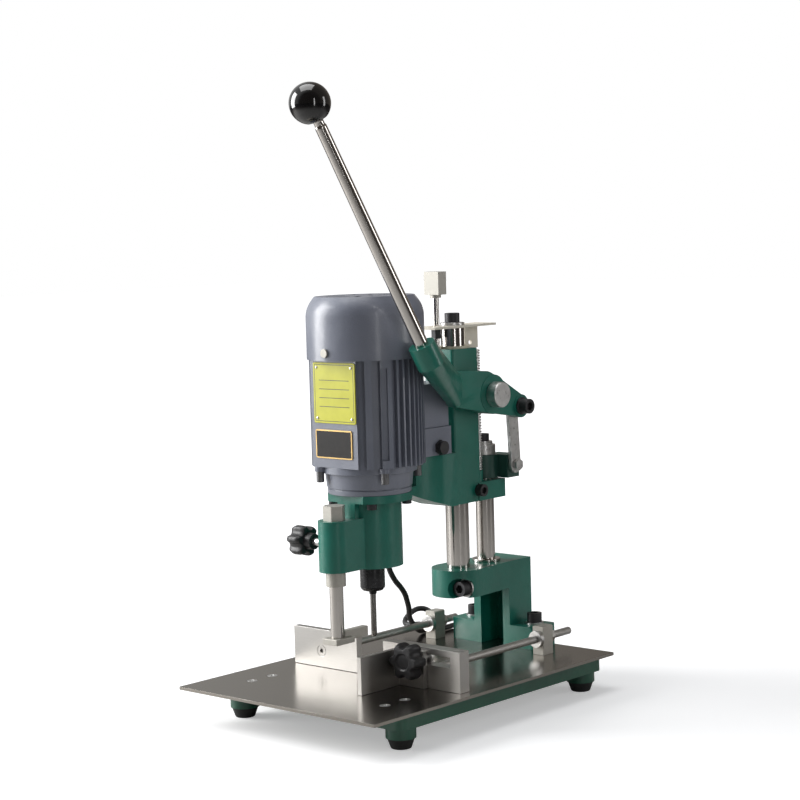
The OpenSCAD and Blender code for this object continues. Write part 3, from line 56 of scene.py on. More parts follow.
# The camera stands where the photograph was taken from. Its place is in metres and its angles are in degrees
cameraView = {"place": (1.3757, -1.5266, 0.5011), "azimuth": 41.6, "elevation": 4.9, "roll": -1.6,
              "lens": 89.98, "shift": (-0.011125, -0.004125), "clip": (0.05, 60)}


# A pose has its three axes and its place as columns
def poseFrom(right, above, back, place):
    pose = Matrix.Identity(4)
    for column, values in enumerate((right, above, back, place)):
        for row in range(3):
            pose[row][column] = values[row]
    return pose


# The camera looks along minus its back vector, set by azimuth and elevation; roll turns its other two axes
def makeCamera(view):
    azimuth, elevation, roll = np.radians([view["azimuth"], view["elevation"], view["roll"]])
    back = np.array([math.sin(azimuth) * math.cos(elevation), -math.cos(azimuth) * math.cos(elevation),
                     math.sin(elevation)])
    level = np.array([math.cos(azimuth), math.sin(azimuth), 0.0])
    upward = np.cross(back, level)
    right = math.cos(roll) * level + math.sin(roll) * upward
    above = math.cos(roll) * upward - math.sin(roll) * level
    lens = bpy.data.cameras.new("camera")
    lens.lens = view["lens"]
    lens.shift_x, lens.shift_y = view["shift"]
    lens.clip_start, lens.clip_end = view["clip"]
    camera = bpy.data.objects.new("camera", lens)
    camera.matrix_world = poseFrom(right, above, back, view["place"])
    scene.collection.objects.link(camera)
    scene.camera = camera


makeCamera(cameraView)
print("camera placed")


class Wire:  # a node's output socket: sums and comparisons on it add Math nodes
    def __init__(self, shading, socket):
        self.shading, self.socket = shading, socket

    def maths(self, operation, first, second):
        return self.shading.node("ShaderNodeMath", {"operation": operation}, {0: first, 1: second})

    def __add__(self, other):
        return self.maths("ADD", self, other)

    def __radd__(self, other):
        return self.maths("ADD", other, self)

    def __sub__(self, other):
        return self.maths("SUBTRACT", self, other)

    def __rsub__(self, other):
        return self.maths("SUBTRACT", other, self)

    def __mul__(self, other):
        return self.maths("MULTIPLY", self, other)

    def __rmul__(self, other):
        return self.maths("MULTIPLY", other, self)

    def __mod__(self, other):
        return self.maths("FLOORED_MODULO", self, other)

    def __gt__(self, other):
        return self.maths("GREATER_THAN", self, other)

    def __lt__(self, other):
        return self.maths("LESS_THAN", self, other)

    def __abs__(self):
        return self.maths("ABSOLUTE", self, 0.0)


class Shading:  # a tree of nodes: node() adds one, with its settings first and then its sockets
    def __init__(self, tree):
        self.tree = tree

    def join(self, value, socket):
        if isinstance(value, Wire):
            self.tree.links.new(value.socket, socket)
        else:
            socket.default_value = value

    def node(self, kind, settings, sockets, output=0):
        made = self.tree.nodes.new(kind)
        for key, value in settings.items():
            setattr(made, key, value)
        for key, value in sockets.items():
            self.join(value, made.inputs[key])
        return Wire(self, made.outputs[output])

    def blend(self, share, first, second):
        return self.node("ShaderNodeMix", {"data_type": "RGBA"}, {0: share, 6: first, 7: second}, 2)

    def smoothStep(self, value, low, high):  # 0 up to low, 1 from high on
        return self.node("ShaderNodeMapRange", {"interpolation_type": "SMOOTHSTEP"},
                         {"Value": value, "From Min": low, "From Max": high})

    def ray(self, kind):  # 1 for a ray of this kind, 0 for others
        return self.node("ShaderNodeLightPath", {}, {}, kind)


class Finish(Shading):  # one material: constants sit on the shader's own sockets, nodes give what varies
    def __init__(self, name, **constants):
        self.material = bpy.data.materials.new(name)
        self.material.use_nodes = True
        super().__init__(self.material.node_tree)
        self.shader = next(node for node in self.tree.nodes if node.type == "BSDF_PRINCIPLED")
        for socket, value in constants.items():
            self.shader.inputs[socket.replace("_", " ")].default_value = value
        self.place = self.node("ShaderNodeTexCoord", {}, {}, "Object")

    def noise(self, scale, detail, roughness=0.5, stretch=(1, 1, 1)):
        place = self.node("ShaderNodeMapping", {}, {"Vector": self.place, "Scale": stretch})
        return self.node("ShaderNodeTexNoise", {}, {"Vector": place, "Scale": scale, "Detail": detail,
                                                     "Roughness": roughness})

    def spread(self, value, low=0, high=1):  # a noise mostly between 0.3 and 0.7, spread from low to high
        return self.node("ShaderNodeMapRange", {}, {"Value": value, "From Min": 0.3, "From Max": 0.7,
                                                    "To Min": low, "To Max": high})

    def axes(self):
        split = self.node("ShaderNodeSeparateXYZ", {}, {"Vector": self.place})
        outputs = split.socket.node.outputs
        return [Wire(self, outputs[axis]) for axis in range(3)]

    def bump(self, height, distance, strength):
        return self.node("ShaderNodeBump", {}, {"Height": height, "Distance": distance, "Strength": strength})

    def set(self, **links):
        for socket, value in links.items():
            self.join(value, self.shader.inputs[socket.replace("_", " ")])
        return self.material


def colour(red, green, blue):
    return (red, green, blue, 1.0)


# Noise scales are in waves per metre and depths in metres
enamelSkin = {"mottle": 22, "casting": 90, "spray": 520, "specks": 1400, "speckShare": 0.18,
              "sprayShare": 0.45, "depth": 0.00036, "strength": 0.55, "glossier": 0.06, "duller": 0.1}
metalGrain = {"cloud": 9, "cloudTint": 0.25, "cloudRoughness": 0.05, "strength": 0.5}
mouldGrain = {"grain": 300, "strength": 0.6}


# Enamel over a casting: two noises mottle the colour, and two give the sprayed skin and the casting under it
def enamel(name, base, dark, light, gloss=0.34, coat=0.25):
    skin = enamelSkin
    paint = Finish(name, IOR=1.5, Coat_Roughness=0.18)
    broad = paint.spread(paint.noise(skin["mottle"], detail=3))
    fine = paint.noise(skin["spray"], detail=2, roughness=0.6)
    cast = paint.noise(skin["casting"], detail=3, roughness=0.55)
    mottled = paint.blend(broad, dark, base)
    specks = paint.spread(paint.noise(skin["specks"], detail=1))
    mottled = paint.blend(specks * skin["speckShare"], mottled, light)
    surface = paint.bump(fine * skin["sprayShare"] + cast, skin["depth"], skin["strength"])
    roughness = paint.spread(cast, gloss - skin["glossier"], gloss + skin["duller"])
    return paint.set(Base_Color=mottled, Roughness=roughness, Coat_Weight=coat, Normal=surface)


# Ground metal: a noise drawn out along the grain streaks the colour, the roughness and the surface
def ground(name, base, streak, rough, scale, stretch=(1, 26, 26), depth=0.00001, metal=1.0):
    steel = Finish(name, Metallic=metal)
    grain = steel.noise(scale, detail=4, roughness=0.7, stretch=stretch)
    cloud = steel.spread(steel.noise(metalGrain["cloud"], detail=2))
    tone = steel.blend(steel.spread(grain), base, streak)
    tone = steel.blend(cloud * metalGrain["cloudTint"], tone, streak)
    roughness = steel.spread(grain, *rough) + cloud * metalGrain["cloudRoughness"]
    surface = steel.bump(grain, depth, metalGrain["strength"])
    return steel.set(Base_Color=tone, Roughness=roughness, Normal=surface)


# Smooth moulded material: a light noise breaks up the gloss
def moulded(name, base, light, rough=(0.3, 0.42), depth=0.00003, coat=0.0):
    stuff = Finish(name, IOR=1.48, Coat_Roughness=0.1)
    grain = stuff.noise(mouldGrain["grain"], detail=3, roughness=0.6)
    tone = stuff.blend(stuff.spread(grain), base, light)
    return stuff.set(Base_Color=tone, Roughness=stuff.spread(grain, *rough), Coat_Weight=coat,
                     Normal=stuff.bump(grain, depth, mouldGrain["strength"]))


finishes = {
    "green_paint": enamel("green enamel", colour(0.004, 0.155, 0.112), colour(0.003, 0.118, 0.084),
                          colour(0.015, 0.21, 0.155)),
    # The base's green is the same green enamel darkened to the tone of its shaded faces: painted shade
    "base_green": enamel("green enamel darkened by painted shade for the base", colour(0.008, 0.085, 0.048), colour(0.006, 0.060, 0.034),
                         colour(0.02, 0.13, 0.09)),
    "dark_green_paint": enamel("dark green enamel", colour(0.010, 0.060, 0.045), colour(0.008, 0.045, 0.034),
                               colour(0.03, 0.11, 0.09), gloss=0.42, coat=0.1),
    "motor_paint": enamel("grey blue enamel", colour(0.185, 0.200, 0.245), colour(0.155, 0.168, 0.212),
                          colour(0.30, 0.32, 0.37), gloss=0.36, coat=0.25),
    "cream_paint": enamel("cream paint", colour(0.78, 0.73, 0.62), colour(0.70, 0.65, 0.54),
                          colour(0.85, 0.82, 0.74), gloss=0.45, coat=0.0),
    "stainless": ground("brushed stainless", colour(0.27, 0.25, 0.225), colour(0.34, 0.32, 0.29),
                        rough=(0.15, 0.23), scale=150, stretch=(1, 34, 34), depth=0.000004),
    "fence_steel": ground("ground fence steel", colour(0.37, 0.36, 0.345), colour(0.44, 0.43, 0.415),
                          rough=(0.34, 0.46), scale=130, depth=0.000006),
    "satin_steel": ground("satin steel", colour(0.40, 0.385, 0.345), colour(0.48, 0.465, 0.425),
                          rough=(0.46, 0.58), scale=200, stretch=(1, 1, 1), metal=0.55),
    "rod_steel": ground("drawn rod steel", colour(0.36, 0.35, 0.335), colour(0.46, 0.45, 0.43),
                        rough=(0.3, 0.42), scale=160, stretch=(1, 1, 1), metal=0.75),
    "dull_zinc": ground("dull zinc", colour(0.11, 0.11, 0.115), colour(0.22, 0.22, 0.225),
                        rough=(0.34, 0.5), scale=260, stretch=(1, 1, 1), metal=0.8),
    "drill_steel": ground("drill steel", colour(0.14, 0.135, 0.13), colour(0.24, 0.23, 0.22),
                          rough=(0.2, 0.3), scale=120, stretch=(30, 30, 1), depth=0.000004),
    "chrome": ground("hard chrome", colour(0.50, 0.475, 0.45), colour(0.60, 0.575, 0.55),
                     rough=(0.09, 0.15), scale=60, stretch=(30, 30, 1), depth=0.000004),
    "bright_steel": ground("zinc plate", colour(0.55, 0.55, 0.55), colour(0.70, 0.70, 0.69),
                           rough=(0.24, 0.38), scale=220, stretch=(1, 1, 1), depth=0.00002),
    "chuck_steel": ground("blued steel", colour(0.018, 0.018, 0.020), colour(0.035, 0.035, 0.038),
                          rough=(0.2, 0.3), scale=200, stretch=(1, 1, 1), depth=0.00001, metal=0.5),
    "black_steel": ground("black oxide", colour(0.030, 0.030, 0.033), colour(0.055, 0.055, 0.058),
                          rough=(0.34, 0.5), scale=260, stretch=(1, 1, 1), depth=0.00003, metal=0.6),
    "copper": ground("copper winding", colour(0.55, 0.22, 0.09), colour(0.70, 0.33, 0.16),
                     rough=(0.3, 0.5), scale=300, stretch=(1, 1, 14), depth=0.0001),
    "bush_polymer": moulded("bush polymer", colour(0.62, 0.56, 0.42), colour(0.7, 0.65, 0.52)),
    "black_gloss": moulded("polished black resin", colour(0.004, 0.004, 0.005), colour(0.008, 0.008, 0.009),
                           rough=(0.06, 0.12), depth=0.000004, coat=0.6),
    "black_matte": moulded("moulded black resin", colour(0.012, 0.012, 0.013), colour(0.026, 0.026, 0.028),
                           rough=(0.34, 0.5), depth=0.00008),
    "foot_rubber": moulded("foot rubber", colour(0.010, 0.011, 0.011), colour(0.022, 0.023, 0.023),
                           rough=(0.55, 0.75), depth=0.0001),
    "cord_rubber": moulded("cord rubber", colour(0.010, 0.010, 0.011), colour(0.02, 0.02, 0.021),
                           rough=(0.42, 0.6), depth=0.00006),
}
print("finishes mixed")

# Points closer than this, in metres, become one: on a made surface, along its slivers and on a solid's copy
mergeGap = {"surface": 1e-6, "sliver": 1e-7, "solid": 2e-6}


# Quads between neighbouring rows and columns of a grid; the last column joins the first
def gridFaces(rows, columns):
    row = np.arange(rows - 1)[:, None] * columns
    column = np.arange(columns)[None, :]
    after = (column + 1) % columns
    quads = np.stack([row + column, row + after, row + columns + after, row + columns + column], -1)
    return quads.reshape(-1, 4)


# Grids of points in millimetres become one piece: doubles are merged, then its faces are turned outwards
def surfacePiece(name, grids, finish, body, sharp=38, replaced=(), slot=None):
    points, faces, start = [], [], 0
    for grid in grids:
        rows, columns = grid.shape[:2]
        points.append(grid.reshape(-1, 3) * millimetre)
        faces.append(gridFaces(rows, columns) + start)
        start += rows * columns
    mesh = bpy.data.meshes.new(name)
    mesh.from_pydata(np.concatenate(points).tolist(), [], np.concatenate(faces).tolist())
    shell = bmesh.new()
    shell.from_mesh(mesh)
    bmesh.ops.remove_doubles(shell, verts=shell.verts, dist=mergeGap["surface"])
    bmesh.ops.dissolve_degenerate(shell, edges=shell.edges, dist=mergeGap["sliver"])
    bmesh.ops.recalc_face_normals(shell, faces=shell.faces)
    shell.to_mesh(mesh)
    shell.free()
    return finishPiece(name, mesh, finish, body, sharp, replaced, slot)


# The mesh is shaded smooth up to a sharp angle in degrees, gets its material and rides on its body
def finishPiece(name, mesh, finish, body, sharp, replaced, slot):
    mesh.polygons.foreach_set("use_smooth", np.full(len(mesh.polygons), True))
    mesh.set_sharp_from_angle(angle=math.radians(sharp))
    mesh.materials.clear()
    mesh.materials.append(finishes[finish] if isinstance(finish, str) else finish)
    piece = bpy.data.objects.new(name, mesh)
    scene.collection.objects.link(piece)
    if body:
        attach(piece, body)
    if replaced:
        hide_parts(*replaced)
    slot or finish in frameSlots
    return piece


# Each inner corner of an outline becomes a quadratic curve that starts and ends a radius away from it, or at
# most this share of a side away
def softened(outline, radius, steps=5, most=0.48):
    outline = np.array(outline, float)
    before, corner, after = outline[:-2], outline[1:-1], outline[2:]
    radii = np.broadcast_to(np.asarray(radius, float), len(corner))[:, None]
    toBefore, toAfter = before - corner, after - corner
    lengthBefore = np.linalg.norm(toBefore, axis=1, keepdims=True)
    lengthAfter = np.linalg.norm(toAfter, axis=1, keepdims=True)
    first = corner + toBefore / lengthBefore * np.minimum(radii, lengthBefore * most)
    last = corner + toAfter / lengthAfter * np.minimum(radii, lengthAfter * most)
    share = np.linspace(0, 1, steps)[None, :, None]
    middle = 2 * corner[:, None] * share * (1 - share)
    curve = first[:, None] * (1 - share) ** 2 + middle + last[:, None] * share ** 2
    return np.concatenate([outline[:1], curve.reshape(-1, 2), outline[-1:]])


# A turned part: each point (radius, height) of the outline is carried round the axis
def turned(outline, columns):
    outline = np.asarray(outline, float)
    angle = np.arange(columns) * 2 * math.pi / columns
    radius = outline[:, 0:1] * np.ones(columns)
    height = np.broadcast_to(outline[:, 1:2], radius.shape)
    return np.stack([radius * np.cos(angle), radius * np.sin(angle), height], -1)


# A turned disc or rod between two heights, with its corners softened
def disc(radius, low, high, soft, columns):
    return turned(softened([(0, low), (radius, low), (radius, high), (0, high)], soft), columns)


# A grid made about the Z axis is laid along another axis, from a place
def laid(grid, place, axis):
    axis = np.array(axis, float) / np.linalg.norm(axis)
    guide = np.array([0.0, 0.0, 1.0]) if abs(axis[2]) < 0.9 else np.array([1.0, 0.0, 0.0])
    side = np.cross(guide, axis)
    side /= np.linalg.norm(side)
    return grid @ np.stack([side, np.cross(axis, side), axis]) + np.array(place, float)


# A circle carried along a path: point = path + radius x (cosine x side + sine x other). Side and other are
# square to the path and turned from one fixed guide direction, and each end closes in its middle
def swept(path, radius, sides, guide=(0.6, 0.0, 0.8)):
    path = np.asarray(path, float)
    heading = np.gradient(path, axis=0)
    heading /= np.linalg.norm(heading, axis=1, keepdims=True)
    side = np.cross(heading, guide)
    side /= np.linalg.norm(side, axis=1, keepdims=True)
    other = np.cross(heading, side)
    angle = np.arange(sides) * 2 * math.pi / sides
    radius = np.broadcast_to(radius, len(path))[:, None, None]
    ring = side[:, None] * np.cos(angle)[None, :, None] + other[:, None] * np.sin(angle)[None, :, None]
    ends = [np.repeat(path[i][None, None], sides, 1) for i in (0, -1)]
    return np.concatenate([ends[0], path[:, None] + radius * ring, ends[1]])


# Cubic curve through the points: each stretch leaves and arrives along the line between its neighbours
def curveThrough(points, steps):
    points = np.asarray(points, float)
    ends = np.concatenate([[2 * points[0] - points[1]], points, [2 * points[-1] - points[-2]]])
    a, b, c, d = ends[:-3, None], ends[1:-2, None], ends[2:-1, None], ends[3:, None]
    t = np.linspace(0, 1, steps, endpoint=False)[None, :, None]
    bend = (2 * a - 5 * b + 4 * c - d) * t ** 2 + (3 * b - a - 3 * c + d) * t ** 3
    curve = 0.5 * (2 * b + (c - a) * t + bend)
    return np.concatenate([curve.reshape(-1, 3), points[-1:]])


# The mains cord: from its gland down behind the bracket, one loop on the table, over its edge and into a coil
cordRoute = {
    "diameter": 6.0,
    "sides": 16,
    "steps": 5,
    "open": [
        (-37, 35, 270.8), (-42, 35, 270.8), (-49, 35, 270.4), (-57, 36, 268), (-64, 37, 262), (-69, 38, 252),
        (-71, 39, 240),
        (-72, 41, 224), (-71, 43, 207), (-69, 46, 188), (-67, 48, 168), (-64, 50, 148), (-62, 54, 130),
        (-61, 61, 118), (-61, 69, 110), (-62, 77, 101), (-65, 84, 91), (-70, 92, 81), (-77, 100, 71),
        (-82, 109, 63), (-87, 119, 56), (-93, 130, 50), (-99, 142, 45), (-103, 154, 43.4), (-105, 166, 46),
        (-109, 176, 52), (-117, 181, 58), (-124, 178, 61.5), (-128.5, 170, 61.5), (-129.5, 160, 58),
        (-127, 150, 54), (-121, 142, 51.5), (-113, 138, 51), (-105, 139, 52), (-98, 144, 52), (-94, 152, 50),
        (-92, 161, 46.5), (-91, 170, 43.8), (-91, 180, 43.4), (-92, 190, 43.4), (-93, 199, 42),
        (-94, 207, 37), (-95, 213, 29), (-96, 216, 20), (-97, 219, 12), (-98, 225, 6), (-98.5, 235, 3.2)],
    "coilCentre": (-56, 235), "innerRadius": 24, "step": 7.4, "turns": 5.5, "perTurn": 24, "climb": 0.5,
    "low": 3.2, "rise": 6.8,
    "tail": [(-12.4, 225, 10.8), (-7, 215.5, 11.8), (3, 209, 12.2), (14, 209, 12.2)],
}


# The coil spirals inwards on the floor, climbs in half a turn and spirals outwards on top of itself
def coilPoints(route):
    turn = np.arange(1, int(route["turns"] * route["perTurn"]) + 1) / route["perTurn"]
    half, climb = route["turns"] / 2, route["climb"] / 2
    outward = np.maximum(np.maximum(half - climb - turn, turn - half - climb), 0)
    radius = route["innerRadius"] + route["step"] * outward
    height = route["low"] + route["rise"] * np.clip((turn - half + climb) / route["climb"], 0, 1)
    angle = math.pi - turn * 2 * math.pi
    x, y = route["coilCentre"]
    return np.stack([x + radius * np.cos(angle), y + radius * np.sin(angle), height], -1)


# One tube along the open stretch, the coil and the tail
def makeCord(route):
    controls = np.concatenate([route["open"], coilPoints(route), route["tail"]])
    path = curveThrough(controls, route["steps"])
    length = np.linalg.norm(np.diff(path, axis=0), axis=1).sum() * millimetre
    print("cord length", round(length, 4), "m")
    tube = swept(path, route["diameter"] / 2, route["sides"])
    lead = surfacePiece("mainsCord", [tube], "cord_rubber", None,
                        replaced=("cord_drop", "cord_run", "cord_coil"), slot="cord_rubber")
    return lead, path


mainsCord, cordLine = makeCord(cordRoute)

# The cord's plug: a body of rounded sections that narrows to its grip, a ribbed sleeve and two pins.
# Each section is its distance along the plug, half its width and its height
plugShape = {
    "place": (14, 209, 12.2), "sides": 48, "squareness": 0.55,
    "sections": [(14, 12, 10), (15.2, 15, 14), (19, 17.2, 18.6), (27, 17.6, 21.0), (36, 17.9, 22.6),
                 (45, 17.9, 23.4), (47.2, 17.6, 22.8), (48, 16.6, 21.4)],
    "sleeveRadius": (3.4, 5.2), "sleeveLength": 15, "sleeveTaper": 1.4, "sleeveRings": 61,
    "ribs": 5, "ribDepth": 0.45, "pinRadius": 2.4, "pinLength": 19, "pinSunk": 1, "pinGap": 19,
}


# A rounded section: across and upward are powers of the cosine and sine, which square the circle's corners.
# The body and the sleeve are made along Z and turned to lie along X, with their width along Y
def makePlug(shape):
    sides, squareness = shape["sides"], shape["squareness"]
    angle = np.arange(sides) * 2 * math.pi / sides
    across = np.sign(np.cos(angle)) * np.abs(np.cos(angle)) ** squareness
    upward = np.sign(np.sin(angle)) * np.abs(np.sin(angle)) ** squareness
    sections = np.array(shape["sections"], float)
    body = np.stack([sections[:, 1:2] * across, sections[:, 2:3] / 2 * upward,
                     np.broadcast_to(sections[:, 0:1], (len(sections), sides))], -1)
    caps = [body[i].mean(0, keepdims=True).repeat(sides, 0)[None] for i in (0, -1)]
    body = np.concatenate([caps[0], body, caps[1]])
    height = np.linspace(0, shape["sleeveLength"], shape["sleeveRings"])
    share = height / shape["sleeveLength"]
    narrow, wide = shape["sleeveRadius"]
    radius = narrow + (wide - narrow) * share ** shape["sleeveTaper"]
    radius += shape["ribDepth"] * (np.cos(share * shape["ribs"] * 2 * math.pi) > 0)
    outline = np.concatenate([[[0, height[0]]], np.stack([radius, height], -1), [[0, height[-1]]]])
    sleeve = turned(outline, columns=32)
    grids = [grid[..., [2, 0, 1]] + np.array(shape["place"]) for grid in (body, sleeve)]
    moulding = surfacePiece("mainsPlug", grids, "black_matte", "base", sharp=50, replaced=("plug",),
                            slot="black_matte")
    face = shape["sections"][-1][0]
    pin = disc(shape["pinRadius"], -shape["pinSunk"], shape["pinLength"], soft=0.9, columns=24)
    pins = [laid(pin, np.array(shape["place"]) + (face, side * shape["pinGap"] / 2, 0), (1, 0, 0))
            for side in (-1, 1)]
    return moulding, surfacePiece("plugPins", pins, "bright_steel", "base")


mainsPlug, plugPins = makePlug(plugShape)

# A ribbed sleeve tapers along the first part of the cord. It is grooved where the sine of its ribs is above
# groove, up to the share of its length where it is plain
reliefSleeve = {"wide": 5.4, "narrow": 3.5, "length": 26, "taper": 0.8, "ribs": 6, "ribDepth": 0.5,
                "groove": 0.2, "plainFrom": 0.9, "rings": 80, "sides": 24}


def makeSleeve(sleeve, line):
    along = np.concatenate([[0], np.cumsum(np.linalg.norm(np.diff(line, axis=0), axis=1))])
    step = np.linspace(0, sleeve["length"], sleeve["rings"])
    path = np.stack([np.interp(step, along, line[:, axis]) for axis in range(3)], -1)
    share = step / sleeve["length"]
    sine = np.sin(share * sleeve["ribs"] * 2 * math.pi)
    radius = sleeve["wide"] + (sleeve["narrow"] - sleeve["wide"]) * share ** sleeve["taper"]
    radius -= sleeve["ribDepth"] * (sine > sleeve["groove"]) * (share < sleeve["plainFrom"])
    return surfacePiece("cordSleeve", [swept(path, radius, sleeve["sides"])], "cord_rubber", "head", sharp=45)


cordSleeve = makeSleeve(reliefSleeve, cordLine)
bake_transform(mainsCord)
print("cord and plug made")

# The return spring: a helix whose pitch closes up at both ends, where it lies on the block and the tab
springShape = {"centre": (7, 120.7), "radius": 6.4, "wire": 1.6, "low": 236.0, "high": 368.0, "curls": 44,
               "perCurl": 20, "closing": 0.035, "sides": 10}


# Height = share of the length less a part of that share's sine, so that it rises slowly at both ends
def makeSpring(spring):
    share = np.linspace(0, 1, spring["curls"] * spring["perCurl"] + 1)
    rest = spring["wire"] / 2
    height = spring["high"] - spring["low"] - 2 * rest
    eased = share - spring["closing"] * np.sin(2 * math.pi * share) / math.pi
    angle = -math.pi / 2 + share * spring["curls"] * 2 * math.pi
    path = np.stack([spring["radius"] * np.cos(angle), spring["radius"] * np.sin(angle), eased * height], -1)
    path += np.array([*spring["centre"], spring["low"] + rest])
    coil = surfacePiece("returnSpring", [swept(path, spring["wire"] / 2, spring["sides"], guide=(0, 0, 1))],
                        "bright_steel", None, replaced=("return_spring",), slot="bright_steel")
    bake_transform(coil)


makeSpring(springShape)

# CAD solids that keep their shape: a copy is merged, its flats are joined and its edges are rounded.
# Each has its finish and the width of the rounding in millimetres
dressed = {
    "base_casting": ("base_green", 1.6), "column_bracket": ("green_paint", 2.0),
    "head_casting": ("green_paint", 1.6), "lever_casting": ("green_paint", 1.0),
    "link_bracket": ("dark_green_paint", 0.8), "table_plate": ("stainless", 0.35),
    "left_fence": ("fence_steel", 0.4), "right_fence": ("fence_steel", 0.4),
    "side_stop": ("fence_steel", 0.4), "left_rod": ("rod_steel", 0.3), "right_rod": ("rod_steel", 0.3),
    "rod_blocks": ("satin_steel", 0.5), "rod_lock_nuts": ("bright_steel", 0.4),
    "table_screws": ("bright_steel", 0.15),
    "base_cap_screws": ("black_steel", 0.5), "base_washers": ("bright_steel", 0.2),
    "front_column": ("chrome", 0.8), "rear_column": ("chrome", 0.5), "top_plate": ("cream_paint", 0.3),
    "column_cap_screws": ("black_steel", 0.6), "column_cap_washers": ("bright_steel", 0.4),
    "link_pin": ("bright_steel", 0.4), "guide_bushes": ("bush_polymer", 0.3),
    "head_cap_screws": ("black_steel", 0.4), "motor_frame": ("motor_paint", 0.5),
    "fan_cover": ("motor_paint", 1.0), "cover_screws": ("satin_steel", 0.5),
    "upper_shield": ("motor_paint", 0.5), "lower_shield": ("motor_paint", 0.8),
    "tie_bolts": ("dull_zinc", 0.5), "terminal_box": ("motor_paint", 0.8),
    "terminal_lid": ("motor_paint", 0.9), "cable_glands": ("black_matte", 0.4),
    "press_guide": ("satin_steel", 0.5), "lever_pivot_bolt": ("bright_steel", 0.9),
    "depth_stop_rod": ("chrome", 0.4), "depth_stop_block": ("satin_steel", 0.9),
    "depth_stop_nut": ("black_steel", 0.5), "press_rod": ("chrome", 0.5), "press_foot": ("satin_steel", 0.7),
    "lever_rear_pin": ("black_steel", 0.6), "link_bar": ("bright_steel", 0.4),
}

# Faces that meet within the flat angle are joined, edges above the edge angle are rounded; both in degrees
rounding = {"flatAngle": 0.6, "edgeAngle": 28, "segments": 3}

# The record's slot of each finish that has no slot of its own
slotOf = {"fence_steel": "stainless", "satin_steel": "bright_steel", "dull_zinc": "black_steel",
          "rod_steel": "chrome", "base_green": "green_paint"}


# head_casting becomes headCasting
def pieceName(node):
    words = node.split("_")
    return words[0] + "".join(word.capitalize() for word in words[1:])


def dress(node, finish, width):
    shell = bmesh.new()
    shell.from_mesh(frame["nodes"][node].data)
    bmesh.ops.remove_doubles(shell, verts=shell.verts, dist=mergeGap["solid"])
    bmesh.ops.dissolve_limit(shell, angle_limit=math.radians(rounding["flatAngle"]), verts=shell.verts,
                             edges=shell.edges, delimit={"NORMAL"})
    mesh = bpy.data.meshes.new(pieceName(node))
    shell.to_mesh(mesh)
    shell.free()
    for name in ("custom_normal", "sharp_face"):
        if name in mesh.attributes:
            mesh.attributes.remove(mesh.attributes[name])
    piece = finishPiece(pieceName(node), mesh, finish, nodeBody[node], rounding["edgeAngle"], (node,),
                        slotOf.get(finish, finish))
    edges = piece.modifiers.new("rounded edges", "BEVEL")
    edges.width, edges.segments, edges.limit_method = width * millimetre, rounding["segments"], "ANGLE"
    edges.angle_limit, edges.use_clamp_overlap = math.radians(rounding["edgeAngle"]), True
    edges.harden_normals = True


for node, (finish, width) in dressed.items():
    dress(node, finish, width)
print("castings and plain parts dressed")

# Hidden works keep their solids and only get their finish
inside = {"stator": "copper", "rotor": "bright_steel", "cooling_fan": "black_matte",
          "shaft_bearings": "bright_steel", "press_spring": "bright_steel"}
for node, finish in inside.items():
    frame["nodes"][node].data.materials.clear()
    frame["nodes"][node].data.materials.append(finishes[finish])

# Rubber feet: turned, with a small hollow under each and a rounded rim
footShape = {"places": [(-108, -124), (108, -124), (-108, 165), (108, 165)], "soft": (0.4, 0.5, 1.4, 0.7),
             "outline": [(0, 1.2), (6.9, 1.2), (7.5, 0.05), (10, 0), (13.75, 10.5), (0, 10.5)]}


def makeFeet(foot):
    grid = turned(softened(foot["outline"], foot["soft"]), columns=56)
    grids = [laid(grid, (x, y, 0), (0, 0, 1)) for x, y in foot["places"]]
    surfacePiece("rubberFeet", grids, "foot_rubber", "base", replaced=("rubber_feet",))


makeFeet(footShape)

# The drill: a plain tube, ground to a sharp edge at its open end. Its outline runs down the bore to the edge,
# up the outside and back down the bore
drillShape = {"place": (0, -41, 82.3), "soft": (0.05, 0.2, 0.2, 0.1),
              "outline": [(2.25, 12), (2.25, 0), (3.0, 2.6), (3.0, 57.7), (2.25, 57.7), (2.25, 12)]}


def makeDrill(drill):
    grid = turned(softened(drill["outline"], drill["soft"]), columns=48)
    surfacePiece("drillBit", [laid(grid, drill["place"], (0, 0, 1))], "drill_steel", "spindle", sharp=32,
                 replaced=("drill_bit",), slot="bright_steel")


makeDrill(drillShape)

# The chuck: a turned body with a short tapered nose, hollow for the drill. Its outline is a closed one
chuckShape = {"place": (0, -41, 130), "soft": (0.4, 0.2, 0.8, 1.6, 0.6, 0.1, 0.1),
              "outline": [(3.05, -4), (3.6, -4), (4.2, 0), (9.9, 0), (12.8, 3.0), (12.8, 26.4), (5.9, 26.4),
                          (5.9, 26.7), (3.05, 26.7)]}


def makeChuck(chuck):
    outline = softened(chuck["outline"], chuck["soft"])
    grid = turned(np.concatenate([outline, outline[:1]]), columns=96)
    surfacePiece("drillChuck", [laid(grid, chuck["place"], (0, 0, 1))], "chuck_steel", "spindle", sharp=40,
                 replaced=("drill_chuck",), slot="black_steel")


makeChuck(chuckShape)

# Lever rod and ball. The bore is a radius and a depth, and the flat at the ball's foot takes this many
# degrees from the circle
leverShape = {"foot": (84, -51, 384), "axis": (-0.1025, -0.45, 0.8868),
              "rod": [(0, -18), (7.25, -18), (7.25, 2), (6.9, 40), (5.85, 238.5), (5.0, 240.6), (5.0, 244.0),
                      (5.75, 246.3), (5.75, 258), (0, 258)],
              "rodSoft": (0.5, 2, 12, 0.6, 0.5, 0.5, 0.6, 0.4),
              "ball": 20.0, "ballCentre": 263.3, "bore": (5.9, 4), "flat": 31.5, "ballSoft": (0.5, 0.6),
              "arcPoints": 60, "mouthPoints": 3}


